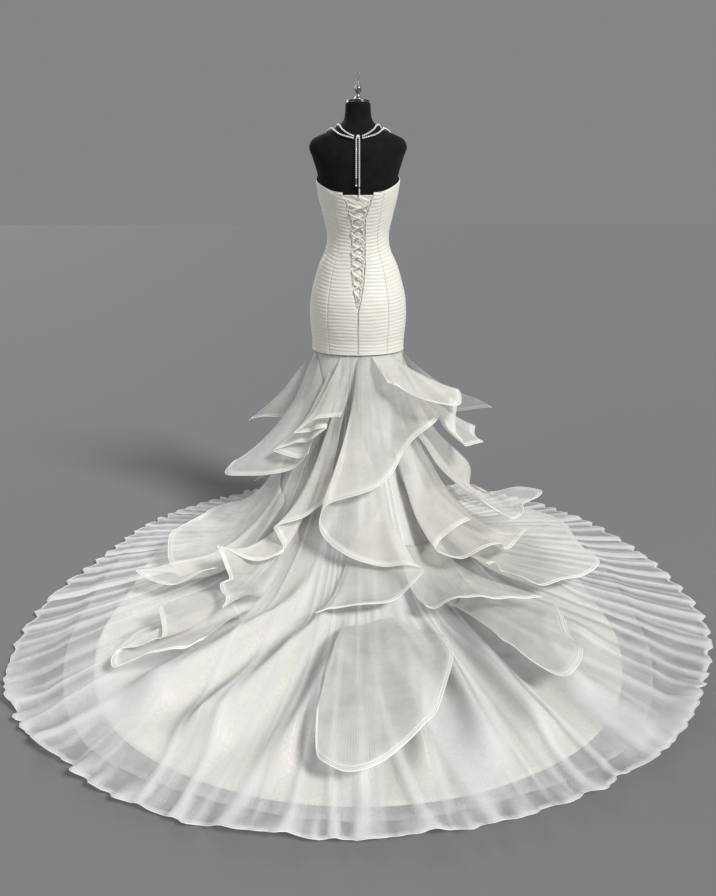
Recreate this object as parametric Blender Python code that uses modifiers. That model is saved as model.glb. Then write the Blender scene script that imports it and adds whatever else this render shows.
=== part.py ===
"""White mermaid gown on a black dress form: the construction, in metres, +Z up.

The origin is on the floor under the form's pole. The gown's back, which the photo shows, faces -Y.
An azimuth is measured round the form: 0 at the back, 90 at +X, 180 at the front.
The skirt is one surface of azimuth and fall, and every layer and flounce lies on it, moved out.
"""
from collections import namedtuple

import bmesh
import bpy
import numpy as np
from mathutils import Vector
from mathutils.bvhtree import BVHTree

SEAM_GAP = 0.0003
SEAM_RADIUS = 0.060

# Dress form: one row for each section of the torso and neck
Section = namedtuple("Section", "height half_width back_depth front_depth")
TORSO = [
    Section(0.800, 0.162, 0.122, 0.112),
    Section(0.850, 0.167, 0.128, 0.114),
    Section(0.940, 0.166, 0.126, 0.108),
    Section(1.010, 0.150, 0.108, 0.098),
    Section(1.066, 0.132, 0.094, 0.088),
    Section(1.115, 0.109, 0.085, 0.082),
    Section(1.155, 0.101, 0.081, 0.080),
    Section(1.234, 0.115, 0.091, 0.096),
    Section(1.300, 0.131, 0.100, 0.122),
    Section(1.335, 0.136, 0.102, 0.124),
    Section(1.370, 0.141, 0.101, 0.112),
    Section(1.420, 0.156, 0.094, 0.086),
    Section(1.460, 0.166, 0.080, 0.066),
    Section(1.482, 0.150, 0.072, 0.060),
    Section(1.500, 0.108, 0.065, 0.055),
    Section(1.515, 0.075, 0.058, 0.052),
    Section(1.532, 0.053, 0.052, 0.050),
    Section(1.560, 0.044, 0.046, 0.047),
    Section(1.588, 0.042, 0.044, 0.046),
]
TORSO_SIDES = 18
POLE_RADIUS = 0.016
BASE_RADIUS = 0.170
BASE_HEIGHT = 0.022
BASE_RIM = 0.008
CAP_RADIUS = 0.039
CAP_DEPTH = 0.010
CAP_MIDDLE = 1.5933
FINIAL_FOOT = 1.5986
# Turned profile of the finial, radius and height from its foot, and the hook's line above it
FINIAL = [(0.0, 0.000), (0.016, 0.000), (0.016, 0.004), (0.008, 0.010), (0.006, 0.020), (0.011, 0.028),
          (0.012, 0.036), (0.006, 0.044), (0.005, 0.056), (0.0, 0.058)]
HOOK = [(0.0, 0.0, 1.6572), (0.0, 0.0, 1.664), (0.006, 0.0, 1.668), (0.007, 0.0, 1.674), (0.001, 0.0, 1.679)]
HOOK_RADIUS = 0.0012
TORSO_FOOT = 0.7993

# Bodice: wall between two distances out from the form
BODICE_INNER = 0.0048
BODICE_OUTER = 0.0076
PLEAT_DEPTH = 0.0013
PLEAT_COUNT = 36
LINING_ROWS = 19
DROP_WAIST = 0.760
BACK_TOP = 1.306
SIDE_TOP = 1.352
BUST_TOP = 1.392
FRONT_DIP = 1.366
PRINCESS_BACK = 38.0
PRINCESS_FRONT = 142.0
PANEL_STEP = 20.0

# Lacing gap: half its width at each height
LACING = [(0.760, 0.0007), (0.905, 0.0015), (0.973, 0.016), (1.018, 0.022), (1.072, 0.026), (1.147, 0.025),
          (1.223, 0.026), (1.302, 0.052), (1.400, 0.062)]
LOOP_COUNT = 11
LACING_BOTTOM = 0.935
LACING_TOP = 1.290
CORD_RADIUS = 0.0012
LOOP_ROOT = 0.0024
LOOP_REACH = 0.0065
LOOP_OUT = 0.0075
RIBBONS_OUT = {"a": 0.0104, "b": 0.0045}
# Strips behind the lacing gap: their ends, how far they pass the gap's edges, and their wall
Strip = namedtuple("Strip", "bottom top margin rows")
MODESTY = Strip(0.898, 1.300, 0.012, 11)
ZIP = Strip(0.7640, 0.8975, 0.008, 4)
STRIP_INNER = 0.0013
STRIP_OUTER = 0.0026

# Skirt: radius on the floor at which the bell meets it, and each hem, at each azimuth from the back
Hem = namedtuple("Hem", "azimuth bell satin under over_left over_right")
HEMS = [
    Hem(0, 0.78, 1.39, 1.43, 1.50, 1.50),
    Hem(15, 0.77, 1.37, 1.41, 1.50, 1.49),
    Hem(30, 0.75, 1.30, 1.38, 1.475, 1.46),
    Hem(45, 0.72, 1.13, 1.23, 1.40, 1.39),
    Hem(60, 0.68, 0.92, 1.05, 1.22, 1.30),
    Hem(75, 0.62, 0.81, 0.93, 1.01, 1.14),
    Hem(90, 0.56, 0.72, 0.80, 0.89, 1.00),
    Hem(105, 0.49, 0.64, 0.69, 0.77, 0.85),
    Hem(120, 0.43, 0.55, 0.59, 0.65, 0.71),
    Hem(150, 0.36, 0.45, 0.48, 0.51, 0.53),
    Hem(180, 0.34, 0.42, 0.44, 0.46, 0.46),
]
SKIRT_TOP = DROP_WAIST - SEAM_GAP
SKIRT_HALF_WIDTH = 0.1600
SKIRT_BACK = 0.1200
SKIRT_FRONT = 0.1095
BELL_DROP = 0.42
BELL_LEAN = (0.12, 0.50)
RIPPLES = 7
RIPPLE_DEPTH = 0.010
SKIRT_STEP = 12.0
FALL_ROWS = (0.0, 0.12, 0.26, 0.42, 0.60, 0.80, 1.0)
LEVEL_FALL = 0.25
SATIN_WALL = 0.0020
TULLE_WALL = 0.0010
TULLE_PLEATS = 60
TULLE_PLEAT_HEIGHT = 0.006
HEM_SETTLE = 0.040

# Flounces: one row for each fold, from the attached line to the hem; lift is the hem's distance off the skirt
Fold = namedtuple("Fold", "attach_azimuth attach_fall hem_azimuth hem_fall lift")
FLOUNCE_WALL = 0.0012
FLOUNCE_GAP = 0.006
SEWN_GAP = 0.0028
FOLD_GAP = 0.020
SKIRT_LAYERS = 0.0046
FLOUNCES = {
    "floor_left": [
        Fold(-40, 0.93, -41, 1.22, 0.040), Fold(-37, 0.95, -35, 1.27, 0.060), Fold(-33, 0.96, -32, 1.33, 0.065),
        Fold(-34, 0.97, -37.5, 1.40, 0.050), Fold(-33, 0.99, -36, 1.44, 0.025), Fold(-30, 1.00, -32, 1.39, 0.015),
        Fold(-28, 1.01, -28, 1.33, 0.012), Fold(-26, 1.02, -26, 1.25, 0.010)],
    "floor_back": [
        Fold(-4, 0.96, -5, 1.40, 0.025), Fold(-2, 0.94, -4, 1.54, 0.035), Fold(0, 0.93, 0, 1.575, 0.045),
        Fold(2, 0.92, 5, 1.51, 0.050), Fold(4, 0.91, 9, 1.435, 0.060), Fold(6, 0.90, 12, 1.34, 0.070),
        Fold(8, 0.90, 15.5, 1.22, 0.060), Fold(10, 0.90, 16.5, 1.12, 0.040)],
    "floor_right": [
        Fold(25, 0.85, 25, 1.20, 0.020), Fold(26, 0.90, 26, 1.30, 0.030), Fold(28, 0.92, 29, 1.43, 0.035),
        Fold(31, 0.90, 34, 1.39, 0.050), Fold(34, 0.85, 38, 1.29, 0.060), Fold(38, 0.82, 43, 1.20, 0.050)],
    "outer_left": [
        Fold(-44, 0.52, -42, 0.98, 0.040), Fold(-46, 0.50, -46, 1.10, 0.050), Fold(-52, 0.48, -55, 1.22, 0.110),
        Fold(-51, 0.48, -54, 1.14, 0.075), Fold(-50, 0.49, -52, 1.07, 0.025), Fold(-58, 0.45, -59, 1.10, 0.070),
        Fold(-70, 0.38, -68, 1.10, 0.120), Fold(-78, 0.34, -78, 0.98, 0.130), Fold(-90, 0.30, -92, 0.85, 0.100)],
    "inner_right": [
        Fold(14, 0.60, 17, 0.94, 0.030), Fold(17, 0.62, 22, 1.00, 0.040), Fold(22, 0.64, 27, 1.05, 0.040),
        Fold(30, 0.65, 34, 1.11, 0.040), Fold(38, 0.66, 40, 1.17, 0.050)],
    "low_right": [
        Fold(38, 0.55, 38, 0.92, 0.040), Fold(43, 0.58, 45, 0.96, 0.050), Fold(44, 0.62, 46.5, 1.07, 0.050),
        Fold(50, 0.60, 54, 1.19, 0.060), Fold(56, 0.58, 62, 1.28, 0.100), Fold(62, 0.56, 68, 1.21, 0.110),
        Fold(70, 0.52, 77, 1.20, 0.115), Fold(82, 0.48, 90, 1.12, 0.100)],
    "middle_left": [
        Fold(-10, 0.12, -14, 0.48, 0.040), Fold(-16, 0.14, -22, 0.56, 0.080), Fold(-22, 0.17, -33, 0.63, 0.110),
        Fold(-21.5, 0.24, -31, 0.66, 0.080), Fold(-21, 0.30, -28, 0.70, 0.055), Fold(-25, 0.34, -33, 0.77, 0.075),
        Fold(-32, 0.37, -43, 0.87, 0.100), Fold(-31.5, 0.44, -40, 0.92, 0.070), Fold(-30.5, 0.50, -35.5, 0.97, 0.045),
        Fold(-30, 0.55, -35, 1.03, 0.040), Fold(-29, 0.60, -30, 1.07, 0.030), Fold(-27, 0.62, -28, 1.12, 0.020)],
    "middle_right": [
        Fold(50, 0.28, 52, 0.64, 0.060), Fold(38, 0.28, 39, 0.65, 0.070), Fold(28, 0.30, 27, 0.71, 0.060),
        Fold(29, 0.40, 32, 0.79, 0.045), Fold(37, 0.44, 41, 0.86, 0.050), Fold(44, 0.46, 49, 0.89, 0.055),
        Fold(52, 0.47, 58, 0.95, 0.060), Fold(60, 0.48, 68, 1.03, 0.060)],
    "corner_right": [
        Fold(44, 0.22, 47, 0.60, 0.090), Fold(50, 0.22, 54, 0.78, 0.120), Fold(58, 0.23, 64, 0.93, 0.150),
        Fold(65, 0.24, 76, 1.04, 0.150), Fold(73, 0.24, 84, 1.14, 0.150), Fold(86, 0.24, 97, 1.00, 0.140),
        Fold(98, 0.22, 108, 0.86, 0.120)],
    "centre": [
        Fold(44, 0.00, 60, 0.22, 0.080), Fold(26, 0.00, 29, 0.32, 0.095), Fold(11, 0.00, 7, 0.44, 0.100),
        Fold(-1, 0.02, -10, 0.50, 0.100), Fold(-3, 0.12, -14, 0.585, 0.075), Fold(3, 0.27, -3, 0.67, 0.060),
        Fold(9, 0.35, 13, 0.735, 0.060), Fold(13, 0.43, 19, 0.79, 0.050), Fold(10, 0.50, 9.5, 0.87, 0.040),
        Fold(2, 0.55, -5, 0.895, 0.035), Fold(-3, 0.60, -10, 0.975, 0.025)],
    "upper_left": [
        Fold(-4, 0.006, -8, 0.205, 0.070), Fold(-13, 0.006, -25, 0.22, 0.110), Fold(-22, 0.006, -41, 0.285, 0.125),
        Fold(-21, 0.03, -30, 0.265, 0.085), Fold(-19, 0.06, -17, 0.25, 0.055), Fold(-21, 0.08, -28, 0.295, 0.065),
        Fold(-28, 0.07, -41, 0.315, 0.095), Fold(-35, 0.06, -50, 0.365, 0.115), Fold(-34, 0.09, -39, 0.365, 0.080),
        Fold(-33, 0.11, -28, 0.34, 0.050), Fold(-38, 0.11, -42, 0.41, 0.070), Fold(-47, 0.07, -53, 0.47, 0.120),
        Fold(-57, 0.03, -60, 0.53, 0.205), Fold(-67, 0.01, -75, 0.50, 0.180), Fold(-78, 0.006, -90, 0.42, 0.120)],
    "upper_right": [
        Fold(17, 0.006, 23, 0.08, 0.030), Fold(23, 0.006, 31, 0.10, 0.060), Fold(33, 0.006, 43, 0.17, 0.110),
        Fold(40, 0.006, 52, 0.21, 0.130), Fold(47, 0.01, 60, 0.14, 0.200), Fold(53, 0.02, 66, 0.20, 0.180),
        Fold(54, 0.03, 62, 0.30, 0.150), Fold(56, 0.05, 60, 0.375, 0.120), Fold(66, 0.05, 68, 0.41, 0.190),
        Fold(76, 0.05, 78, 0.43, 0.220), Fold(86, 0.04, 92, 0.37, 0.190)],
}
LOW_FLOUNCES = ("floor_left", "floor_back", "floor_right", "outer_left", "inner_right", "low_right")
# Plain tiers round the front, where the photo shows only their tips at the sides
Tier = namedtuple("Tier", "start end attach_fall hem_fall lift waves")
TIERS = {
    "front_lower": Tier(96, 264, 0.50, 0.90, 0.070, 5),
    "front_middle": Tier(96, 264, 0.24, 0.60, 0.090, 5),
    "front_upper": Tier(92, 278, 0.00, 0.30, 0.120, 6),
}
SEAM_FALL = 0.002
# Seating of a flounce: rays from PROBE out find the cloth below; each face is tested at the samples
PROBE = 0.35
SEAT_ROUNDS = 4
SEAT_SAMPLES = tuple(step / 8 for step in range(9))
SEAT_SHARE = 0.12
SEAT_CLEAR = 0.0016
SEAT_WALL = 0.0009
TURN_HEIGHT = 0.0040
# Flounces whose folds stand off the skirt side by side, so none of them is laid over the next one
STANDING = ("upper_right",)
FOLDS_SPLIT = 2
FLOUNCE_ROWS = 4
TIER_ROWS = 3

# Pearl strands: (height, azimuth) points on the form, from the front neckline to the nape
STRAND_UPPER = [(1.3886, 153), (1.435, 151), (1.470, 146), (1.497, 132), (1.515, 104), (1.519, 76), (1.514, 50),
                (1.499, 25), (1.4824, 5.9)]
STRAND_LOWER = [(1.3925, 144), (1.435, 143), (1.464, 140), (1.487, 125), (1.502, 100), (1.507, 74), (1.501, 48),
                (1.487, 24), (1.4756, 5.9)]
PEARL_RADIUS = 0.0030
PEARL_OUT = 0.0046
TAIL_OUT = 0.0058
STRAND_POINTS = 11
TAIL_LEFT_END = 1.330
TAIL_RIGHT_END = 1.292
TAIL_TOP = 1.4725
CLASP_HEIGHT = 1.479
CLASP_RADIUS = 0.0075

IVORY = (0.86, 0.85, 0.80)
TULLE_WHITE = (0.88, 0.89, 0.90)
ORGANZA = (0.92, 0.92, 0.90)
PEARL = (0.90, 0.88, 0.83)
FORM_BLACK = (0.012, 0.012, 0.014)
STEEL = (0.75, 0.76, 0.78)


def smooth_read(knots, values, where):
    """Cubic through the knots, with the slopes that numpy.gradient gives."""
    knots = np.asarray(knots, float)
    values = np.asarray(values, float)
    where = np.clip(where, knots[0], knots[-1])
    slopes = np.gradient(values, knots)
    cell = np.clip(np.searchsorted(knots, where, side="right") - 1, 0, len(knots) - 2)
    width = knots[cell + 1] - knots[cell]
    t = (where - knots[cell]) / width
    return ((1 + 2 * t) * (1 - t) ** 2 * values[cell] + t * (1 - t) ** 2 * width * slopes[cell]
            + t * t * (3 - 2 * t) * values[cell + 1] + t * t * (t - 1) * width * slopes[cell + 1])


def torso(height, azimuth, out=0.0):
    """Point on the form's section at this height, moved out by this distance."""
    height, azimuth = np.broadcast_arrays(np.asarray(height, float), np.asarray(azimuth, float))
    heights = [row.height for row in TORSO]
    width = smooth_read(heights, [row.half_width for row in TORSO], height) + out
    back = smooth_read(heights, [row.back_depth for row in TORSO], height) + out
    front = smooth_read(heights, [row.front_depth for row in TORSO], height) + out
    angle = np.radians(azimuth)
    depth = np.where(np.cos(angle) > 0, back, front)
    return np.stack([width * np.sin(angle), -depth * np.cos(angle), height], -1)


def torso_out(height, azimuth, distance):
    """Point of the form's surface, moved out along its normal."""
    step = 0.002
    along = torso(height, np.add(azimuth, 1.0)) - torso(height, np.subtract(azimuth, 1.0))
    up = torso(np.add(height, step), azimuth) - torso(np.subtract(height, step), azimuth)
    normal = np.cross(along, up)
    normal /= np.linalg.norm(normal, axis=-1, keepdims=True)
    return torso(height, azimuth) + normal * distance


def torso_azimuth(height, across):
    """Azimuth at which the form's back section is this far across."""
    width = smooth_read([row.height for row in TORSO], [row.half_width for row in TORSO], height) + BODICE_INNER
    return np.degrees(np.arcsin(np.clip(across / width, -1, 1)))


def hem_radius(column, azimuth):
    """A column of the hem table at this azimuth; the outer tulle has a left and a right side."""
    azimuth = (np.asarray(azimuth, float) + 180) % 360 - 180
    knots = [row.azimuth for row in HEMS]
    turned = [-a for a in knots[:0:-1]] + knots
    if column == "over":
        values = [row.over_left for row in HEMS[:0:-1]] + [row.over_right for row in HEMS]
    else:
        half = [getattr(row, column) for row in HEMS]
        values = half[:0:-1] + half
    return smooth_read(turned, values, azimuth)


def skirt(azimuth, fall):
    """The skirt's inner surface: a bell down to the floor at fall 1, then flat, fall - 1 metres further out."""
    azimuth, fall = np.broadcast_arrays(np.asarray(azimuth, float), np.asarray(fall, float))
    angle = np.radians(azimuth)
    outward = np.stack([np.sin(angle), -np.cos(angle)], -1)
    depth = np.where(np.cos(angle) > 0, SKIRT_BACK, SKIRT_FRONT)
    top = np.stack([SKIRT_HALF_WIDTH * np.sin(angle), -depth * np.cos(angle)], -1)
    t = np.clip(fall, 0, 1)
    early, late = 3 * (1 - t) ** 2 * t, 3 * (1 - t) * t * t
    lean = BELL_LEAN[0] * early + BELL_LEAN[1] * late + t ** 3
    ripple = RIPPLE_DEPTH * np.sin(np.pi * t) ** 2 * np.cos(RIPPLES * angle)
    reach = hem_radius("bell", azimuth) * lean + ripple + np.maximum(fall - 1, 0)
    flat = top * (1 - lean)[..., None] + outward * reach[..., None]
    height = SKIRT_TOP * (1 - t) ** 3 + BELL_DROP * early
    return np.concatenate([flat, height[..., None]], -1)


def skirt_away(azimuth, fall):
    """Direction in which the skirt's surface is moved out: level at the seam, its normal below LEVEL_FALL."""
    step = 1e-3
    inside = np.maximum(fall, step)
    along = skirt(np.add(azimuth, 0.2), inside) - skirt(np.subtract(azimuth, 0.2), inside)
    down = skirt(azimuth, inside + step) - skirt(azimuth, inside - step)
    normal = np.cross(down, along)
    normal /= np.linalg.norm(normal, axis=-1, keepdims=True)
    normal[..., 2] *= np.clip(np.asarray(fall) / LEVEL_FALL, 0, 1)
    return normal


def skirt_out(azimuth, fall, distance):
    return skirt(azimuth, fall) + skirt_away(azimuth, fall) * np.asarray(distance)[..., None]


def flat_lift(azimuth, fall):
    """Distance from the smooth skirt out to the flat faces of the outer tulle, between its rows and columns."""
    rows = np.array(FALL_ROWS)
    low = np.clip(np.searchsorted(rows, fall, side="right") - 1, 0, len(rows) - 2)
    down = np.clip((fall - rows[low]) / (rows[low + 1] - rows[low]), 0, 1)[..., None]
    left = np.floor(azimuth / SKIRT_STEP) * SKIRT_STEP
    across = ((azimuth - left) / SKIRT_STEP)[..., None]

    def corner(turn, row):
        return skirt_out(left + turn * SKIRT_STEP, rows[row], np.full(left.shape, SKIRT_LAYERS))

    upper = corner(0, low) * (1 - across) + corner(1, low) * across
    lower = corner(0, low + 1) * (1 - across) + corner(1, low + 1) * across
    offset = upper * (1 - down) + lower * down - skirt(azimuth, fall)
    hanging = (offset * skirt_away(azimuth, fall)).sum(-1)
    pleats = TULLE_PLEAT_HEIGHT * np.clip((fall - 1) / 0.3, 0, 1)
    return np.where(fall < 1, np.maximum(hanging, SKIRT_LAYERS), SKIRT_LAYERS + pleats)


def clear_scene():
    for item in list(bpy.data.objects):
        bpy.data.objects.remove(item, do_unlink=True)


def material(name, colour, roughness, metallic=0.0):
    made = bpy.data.materials.new(name)
    made.use_nodes = True
    shader = made.node_tree.nodes["Principled BSDF"]
    shader.inputs["Base Color"].default_value = (*colour, 1.0)
    shader.inputs["Roughness"].default_value = roughness
    shader.inputs["Metallic"].default_value = metallic
    return made


def add_mesh(name, collection, points, faces, finish):
    mesh = bpy.data.meshes.new(name)
    mesh.from_pydata([tuple(p) for p in points], [], faces)
    work = bmesh.new()
    work.from_mesh(mesh)
    bmesh.ops.recalc_face_normals(work, faces=work.faces)
    work.to_mesh(mesh)
    work.free()
    made = bpy.data.objects.new(name, mesh)
    made.data.materials.append(finish)
    collection.objects.link(made)
    return made


def stitch(first, second, closed=False):
    """Triangles between two chains of vertex numbers that run side by side, with any number of points each."""
    if closed:
        first, second = first + first[:1], second + second[:1]
    faces = []
    i = j = 0
    while i < len(first) - 1 or j < len(second) - 1:
        next_first = (i + 0.5) / (len(first) - 1)
        next_second = (j + 0.5) / (len(second) - 1)
        if j == len(second) - 1 or (i < len(first) - 1 and next_first <= next_second):
            faces.append((first[i], first[i + 1], second[j]))
            i += 1
        else:
            faces.append((first[i], second[j + 1], second[j]))
            j += 1
    return faces


class Builder:
    """Collects rows of points and the faces between them for a lofted wall."""

    def __init__(self):
        self.points = []
        self.faces = []

    def row(self, points):
        start = len(self.points)
        self.points.extend(points)
        return list(range(start, len(self.points)))

    def join(self, first, second, closed=False):
        self.faces.extend(stitch(first, second, closed))


def tube(name, collection, points, radius, finish, sides=0):
    curve = bpy.data.curves.new(name, "CURVE")
    curve.dimensions = "3D"
    curve.bevel_depth = radius
    curve.bevel_resolution = sides
    curve.use_fill_caps = True
    spline = curve.splines.new("POLY")
    spline.points.add(len(points) - 1)
    for slot, point in zip(spline.points, points):
        slot.co = (*point, 1.0)
    made = bpy.data.objects.new(name, curve)
    made.data.materials.append(finish)
    collection.objects.link(made)
    return made


def add_form(collection):
    """Torso and neck, slanted cap, turned finial with its hook, pole and round base."""
    black = material("form_black", FORM_BLACK, 0.75)
    steel = material("steel", STEEL, 0.25, 1.0)
    build = Builder()
    around = np.arange(TORSO_SIDES) * 360.0 / TORSO_SIDES
    heights = smooth_read(range(len(TORSO)), [row.height for row in TORSO], np.arange(0, len(TORSO) - 0.5, 0.5))
    rows = [build.row(torso(height, around)) for height in heights]
    for upper, lower in zip(rows[1:], rows):
        build.join(upper, lower, closed=True)
    build.faces += [tuple(rows[0]), tuple(rows[-1])]
    add_mesh("form_body", collection, build.points, build.faces, black)

    bpy.ops.mesh.primitive_cylinder_add(vertices=24, radius=CAP_RADIUS, depth=CAP_DEPTH,
                                        location=(0, 0, CAP_MIDDLE + SEAM_GAP))
    cap = bpy.context.object
    cap.name = "form_neck_cap"
    cap.data.materials.append(steel)
    move_to(collection, cap)

    turned("form_finial", collection, FINIAL, FINIAL_FOOT + SEAM_GAP, steel)
    pole = TORSO_FOOT - BASE_HEIGHT
    turned("form_pole", collection, [(0.0, 0.0), (POLE_RADIUS, 0.0), (POLE_RADIUS, pole), (0.0, pole)],
           BASE_HEIGHT + SEAM_GAP, steel)
    turned("form_base", collection, [(0.0, 0.0), (BASE_RADIUS, 0.0), (BASE_RADIUS, BASE_RIM), (0.060, 0.014),
                                     (0.030, BASE_HEIGHT), (0.0, BASE_HEIGHT)], 0.0, black)
    tube("form_hook", collection, HOOK, HOOK_RADIUS, steel)


def turned(name, collection, profile, height, finish):
    """A profile of radius and height, from the axis up to the axis again, turned by a Screw modifier."""
    mesh = bpy.data.meshes.new(name)
    mesh.from_pydata([(r, 0.0, z) for r, z in profile[::-1]], [(i, i + 1) for i in range(len(profile) - 1)], [])
    made = bpy.data.objects.new(name, mesh)
    made.location = (0, 0, height)
    screw = made.modifiers.new("turn", "SCREW")
    screw.steps = screw.render_steps = 12
    screw.use_merge_vertices = True
    screw.merge_threshold = 0.00005
    made.data.materials.append(finish)
    collection.objects.link(made)


def move_to(collection, item):
    for other in list(item.users_collection):
        other.objects.unlink(item)
    collection.objects.link(item)


def bodice_top(azimuth):
    """Height of the neckline: low at the back, up under the arms, sweetheart at the front."""
    return smooth_read([0, 38, 62, 90, 118, 150, 180], [BACK_TOP, 1.311, 1.330, SIDE_TOP, 1.372, BUST_TOP, FRONT_DIP],
                       np.abs((np.asarray(azimuth, float) + 180) % 360 - 180))


def add_bodice_panel(name, collection, start, end, finish, lacing_side=0):
    """Wall with a plain inside; its outside runs in and out once a pleat. start and end are azimuths."""
    build = Builder()
    count = max(2, round(abs(end - start) / PANEL_STEP))
    across = np.linspace(0, 1, count + 1)

    def line(part, out):
        height_guess = DROP_WAIST + (bodice_top(start + (end - start) * across) - DROP_WAIST) * part
        trim = np.sign(end - start) * np.degrees(SEAM_GAP / 2 / SEAM_RADIUS)
        first, last = start + trim, end - trim
        if lacing_side:
            gap = np.interp(height_guess, [z for z, _ in LACING], [half for _, half in LACING])
            first = lacing_side * torso_azimuth(height_guess, gap)
        azimuth = first + (last - first) * across
        return torso(height_guess, azimuth, out)

    inside = [build.row(line(part, BODICE_INNER)) for part in np.linspace(0, 1, LINING_ROWS + 1)]
    outside = []
    for step in range(2 * PLEAT_COUNT + 1):
        out = BODICE_OUTER + (PLEAT_DEPTH if step % 2 else 0.0)
        outside.append(build.row(line(step / (2 * PLEAT_COUNT), out)))
    for rows in (inside, outside):
        for lower, upper in zip(rows, rows[1:]):
            build.join(lower, upper)
    build.join(inside[0], outside[0])
    build.join(inside[-1], outside[-1])
    for edge in (0, -1):
        build.join([row[edge] for row in inside], [row[edge] for row in outside])
    return add_mesh(name, collection, build.points, build.faces, finish)


def add_bodice(collection):
    satin = material("bodice_satin", IVORY, 0.45)
    for side, sign in (("left", -1), ("right", 1)):
        add_bodice_panel(f"bodice_back_{side}", collection, 0, sign * PRINCESS_BACK, satin, lacing_side=sign)
        add_bodice_panel(f"bodice_side_{side}", collection, sign * PRINCESS_BACK, sign * PRINCESS_FRONT, satin)
    add_bodice_panel("bodice_front", collection, PRINCESS_FRONT, 360 - PRINCESS_FRONT, satin)
    add_strip("modesty_panel", collection, MODESTY, satin)
    add_strip("zip_placket", collection, ZIP, satin)


def add_strip(name, collection, strip, finish):
    """Flat strip on the form behind the lacing gap, wider than the gap by its margin on each side."""
    across = np.linspace(-1, 1, 5)
    points, faces = [], []
    for height in np.linspace(strip.bottom, strip.top, strip.rows + 1):
        half = np.interp(height, [z for z, _ in LACING], [half for _, half in LACING]) + strip.margin
        points.extend(torso(height, torso_azimuth(height, half * across), STRIP_OUTER))
    for row in range(strip.rows):
        for col in range(4):
            corner = row * 5 + col
            faces.append((corner, corner + 1, corner + 6, corner + 5))
    made = add_mesh(name, collection, points, faces, finish)
    thicken(made, STRIP_OUTER - STRIP_INNER, 1.0 if made.data.polygons[0].normal.y > 0 else -1.0)


def thicken(item, wall, offset):
    solid = item.modifiers.new("wall", "SOLIDIFY")
    solid.thickness = wall
    solid.offset = offset
    solid.use_even_offset = False


def add_lacing(collection):
    """Cord loops on both edges of the gap, and two ribbons that cross from loop to loop."""
    cord = material("lacing_cord", IVORY, 0.35)
    heights = np.linspace(LACING_BOTTOM, LACING_TOP, LOOP_COUNT + 1)
    half = np.interp(heights, [z for z, _ in LACING], [half for _, half in LACING])
    for side, sign in (("left", -1), ("right", 1)):
        points = []
        for low, high, near, far in zip(heights, heights[1:], half, half[1:]):
            middle = (near + far) / 2
            between = (low + high) / 2
            points += [torso(low, torso_azimuth(low, sign * (near - LOOP_ROOT)), LOOP_OUT),
                       torso(between, torso_azimuth(between, sign * (middle - LOOP_REACH)), LOOP_OUT)]
        points.append(torso(heights[-1], torso_azimuth(heights[-1], sign * (half[-1] - LOOP_ROOT)), LOOP_OUT))
        tube(f"loops_{side}", collection, points, CORD_RADIUS, cord)
    middles = (heights[1:] + heights[:-1]) / 2
    reach = np.interp(middles, [z for z, _ in LACING], [half for _, half in LACING]) - LOOP_REACH
    for start, (letter, out) in zip((1, -1), RIBBONS_OUT.items()):
        points = []
        for step in range(LOOP_COUNT - 1):
            side = start if step % 2 == 0 else -start
            for part in (0.0, 0.33, 0.67):
                height = middles[step] + (middles[step + 1] - middles[step]) * part
                width = reach[step] + (reach[step + 1] - reach[step]) * part
                points.append(torso(height, torso_azimuth(height, side * width * (1 - 2 * part)), out))
        tube(f"lace_ribbon_{letter}", collection, points, CORD_RADIUS, cord)


def add_pearls(collection):
    """Two strands a side from the front neckline over the shoulder to the nape clasp, and two hanging tails."""
    pearl = material("pearl", PEARL, 0.2)
    for side, sign in (("left", -1), ("right", 1)):
        for place, rows in (("upper", STRAND_UPPER), ("lower", STRAND_LOWER)):
            steps = np.linspace(0, len(rows) - 1, STRAND_POINTS)
            height = smooth_read(range(len(rows)), [row[0] for row in rows], steps)
            azimuth = smooth_read(range(len(rows)), [row[1] for row in rows], steps)
            tube(f"pearl_strand_{side}_{place}", collection, torso_out(height, sign * azimuth, PEARL_OUT),
                 PEARL_RADIUS, pearl, 1)
    for side, across, end in (("left", -0.0060, TAIL_LEFT_END), ("right", 0.0045, TAIL_RIGHT_END)):
        height = np.linspace(TAIL_TOP, end, 7)
        tube(f"pearl_tail_{side}", collection, torso_out(height, torso_azimuth(height, across), TAIL_OUT),
             PEARL_RADIUS, pearl, 1)
    bpy.ops.mesh.primitive_uv_sphere_add(segments=10, ring_count=6, radius=CLASP_RADIUS,
                                         location=tuple(torso_out(CLASP_HEIGHT, 0, 0.0066)))
    clasp = bpy.context.object
    clasp.name = "neck_clasp"
    clasp.scale = (1.0, 0.8, 0.9)
    clasp.data.materials.append(pearl)
    move_to(collection, clasp)


def layer_rows(hem_column, below_column):
    """Fall of each row of a skirt layer as functions of azimuth: down the bell, along the floor, over the
    hem of the layer below and out to its own hem."""
    around = np.arange(0, 360, SKIRT_STEP)
    bell = hem_radius("bell", around)
    rows = [np.full(len(around), fall) for fall in FALL_ROWS]
    hem = 1 + hem_radius(hem_column, around) - bell
    if below_column is None:
        return around, rows + [1 + (hem - 1) * 0.5, hem], len(rows) + 2
    under = 1 + hem_radius(below_column, around) - bell
    rows += [1 + (under - 1) * 0.5, under + 0.002]
    settled = len(rows)
    settle = np.minimum(HEM_SETTLE, 0.5 * (hem - under))
    return around, rows + [under + settle, hem], settled


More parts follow.
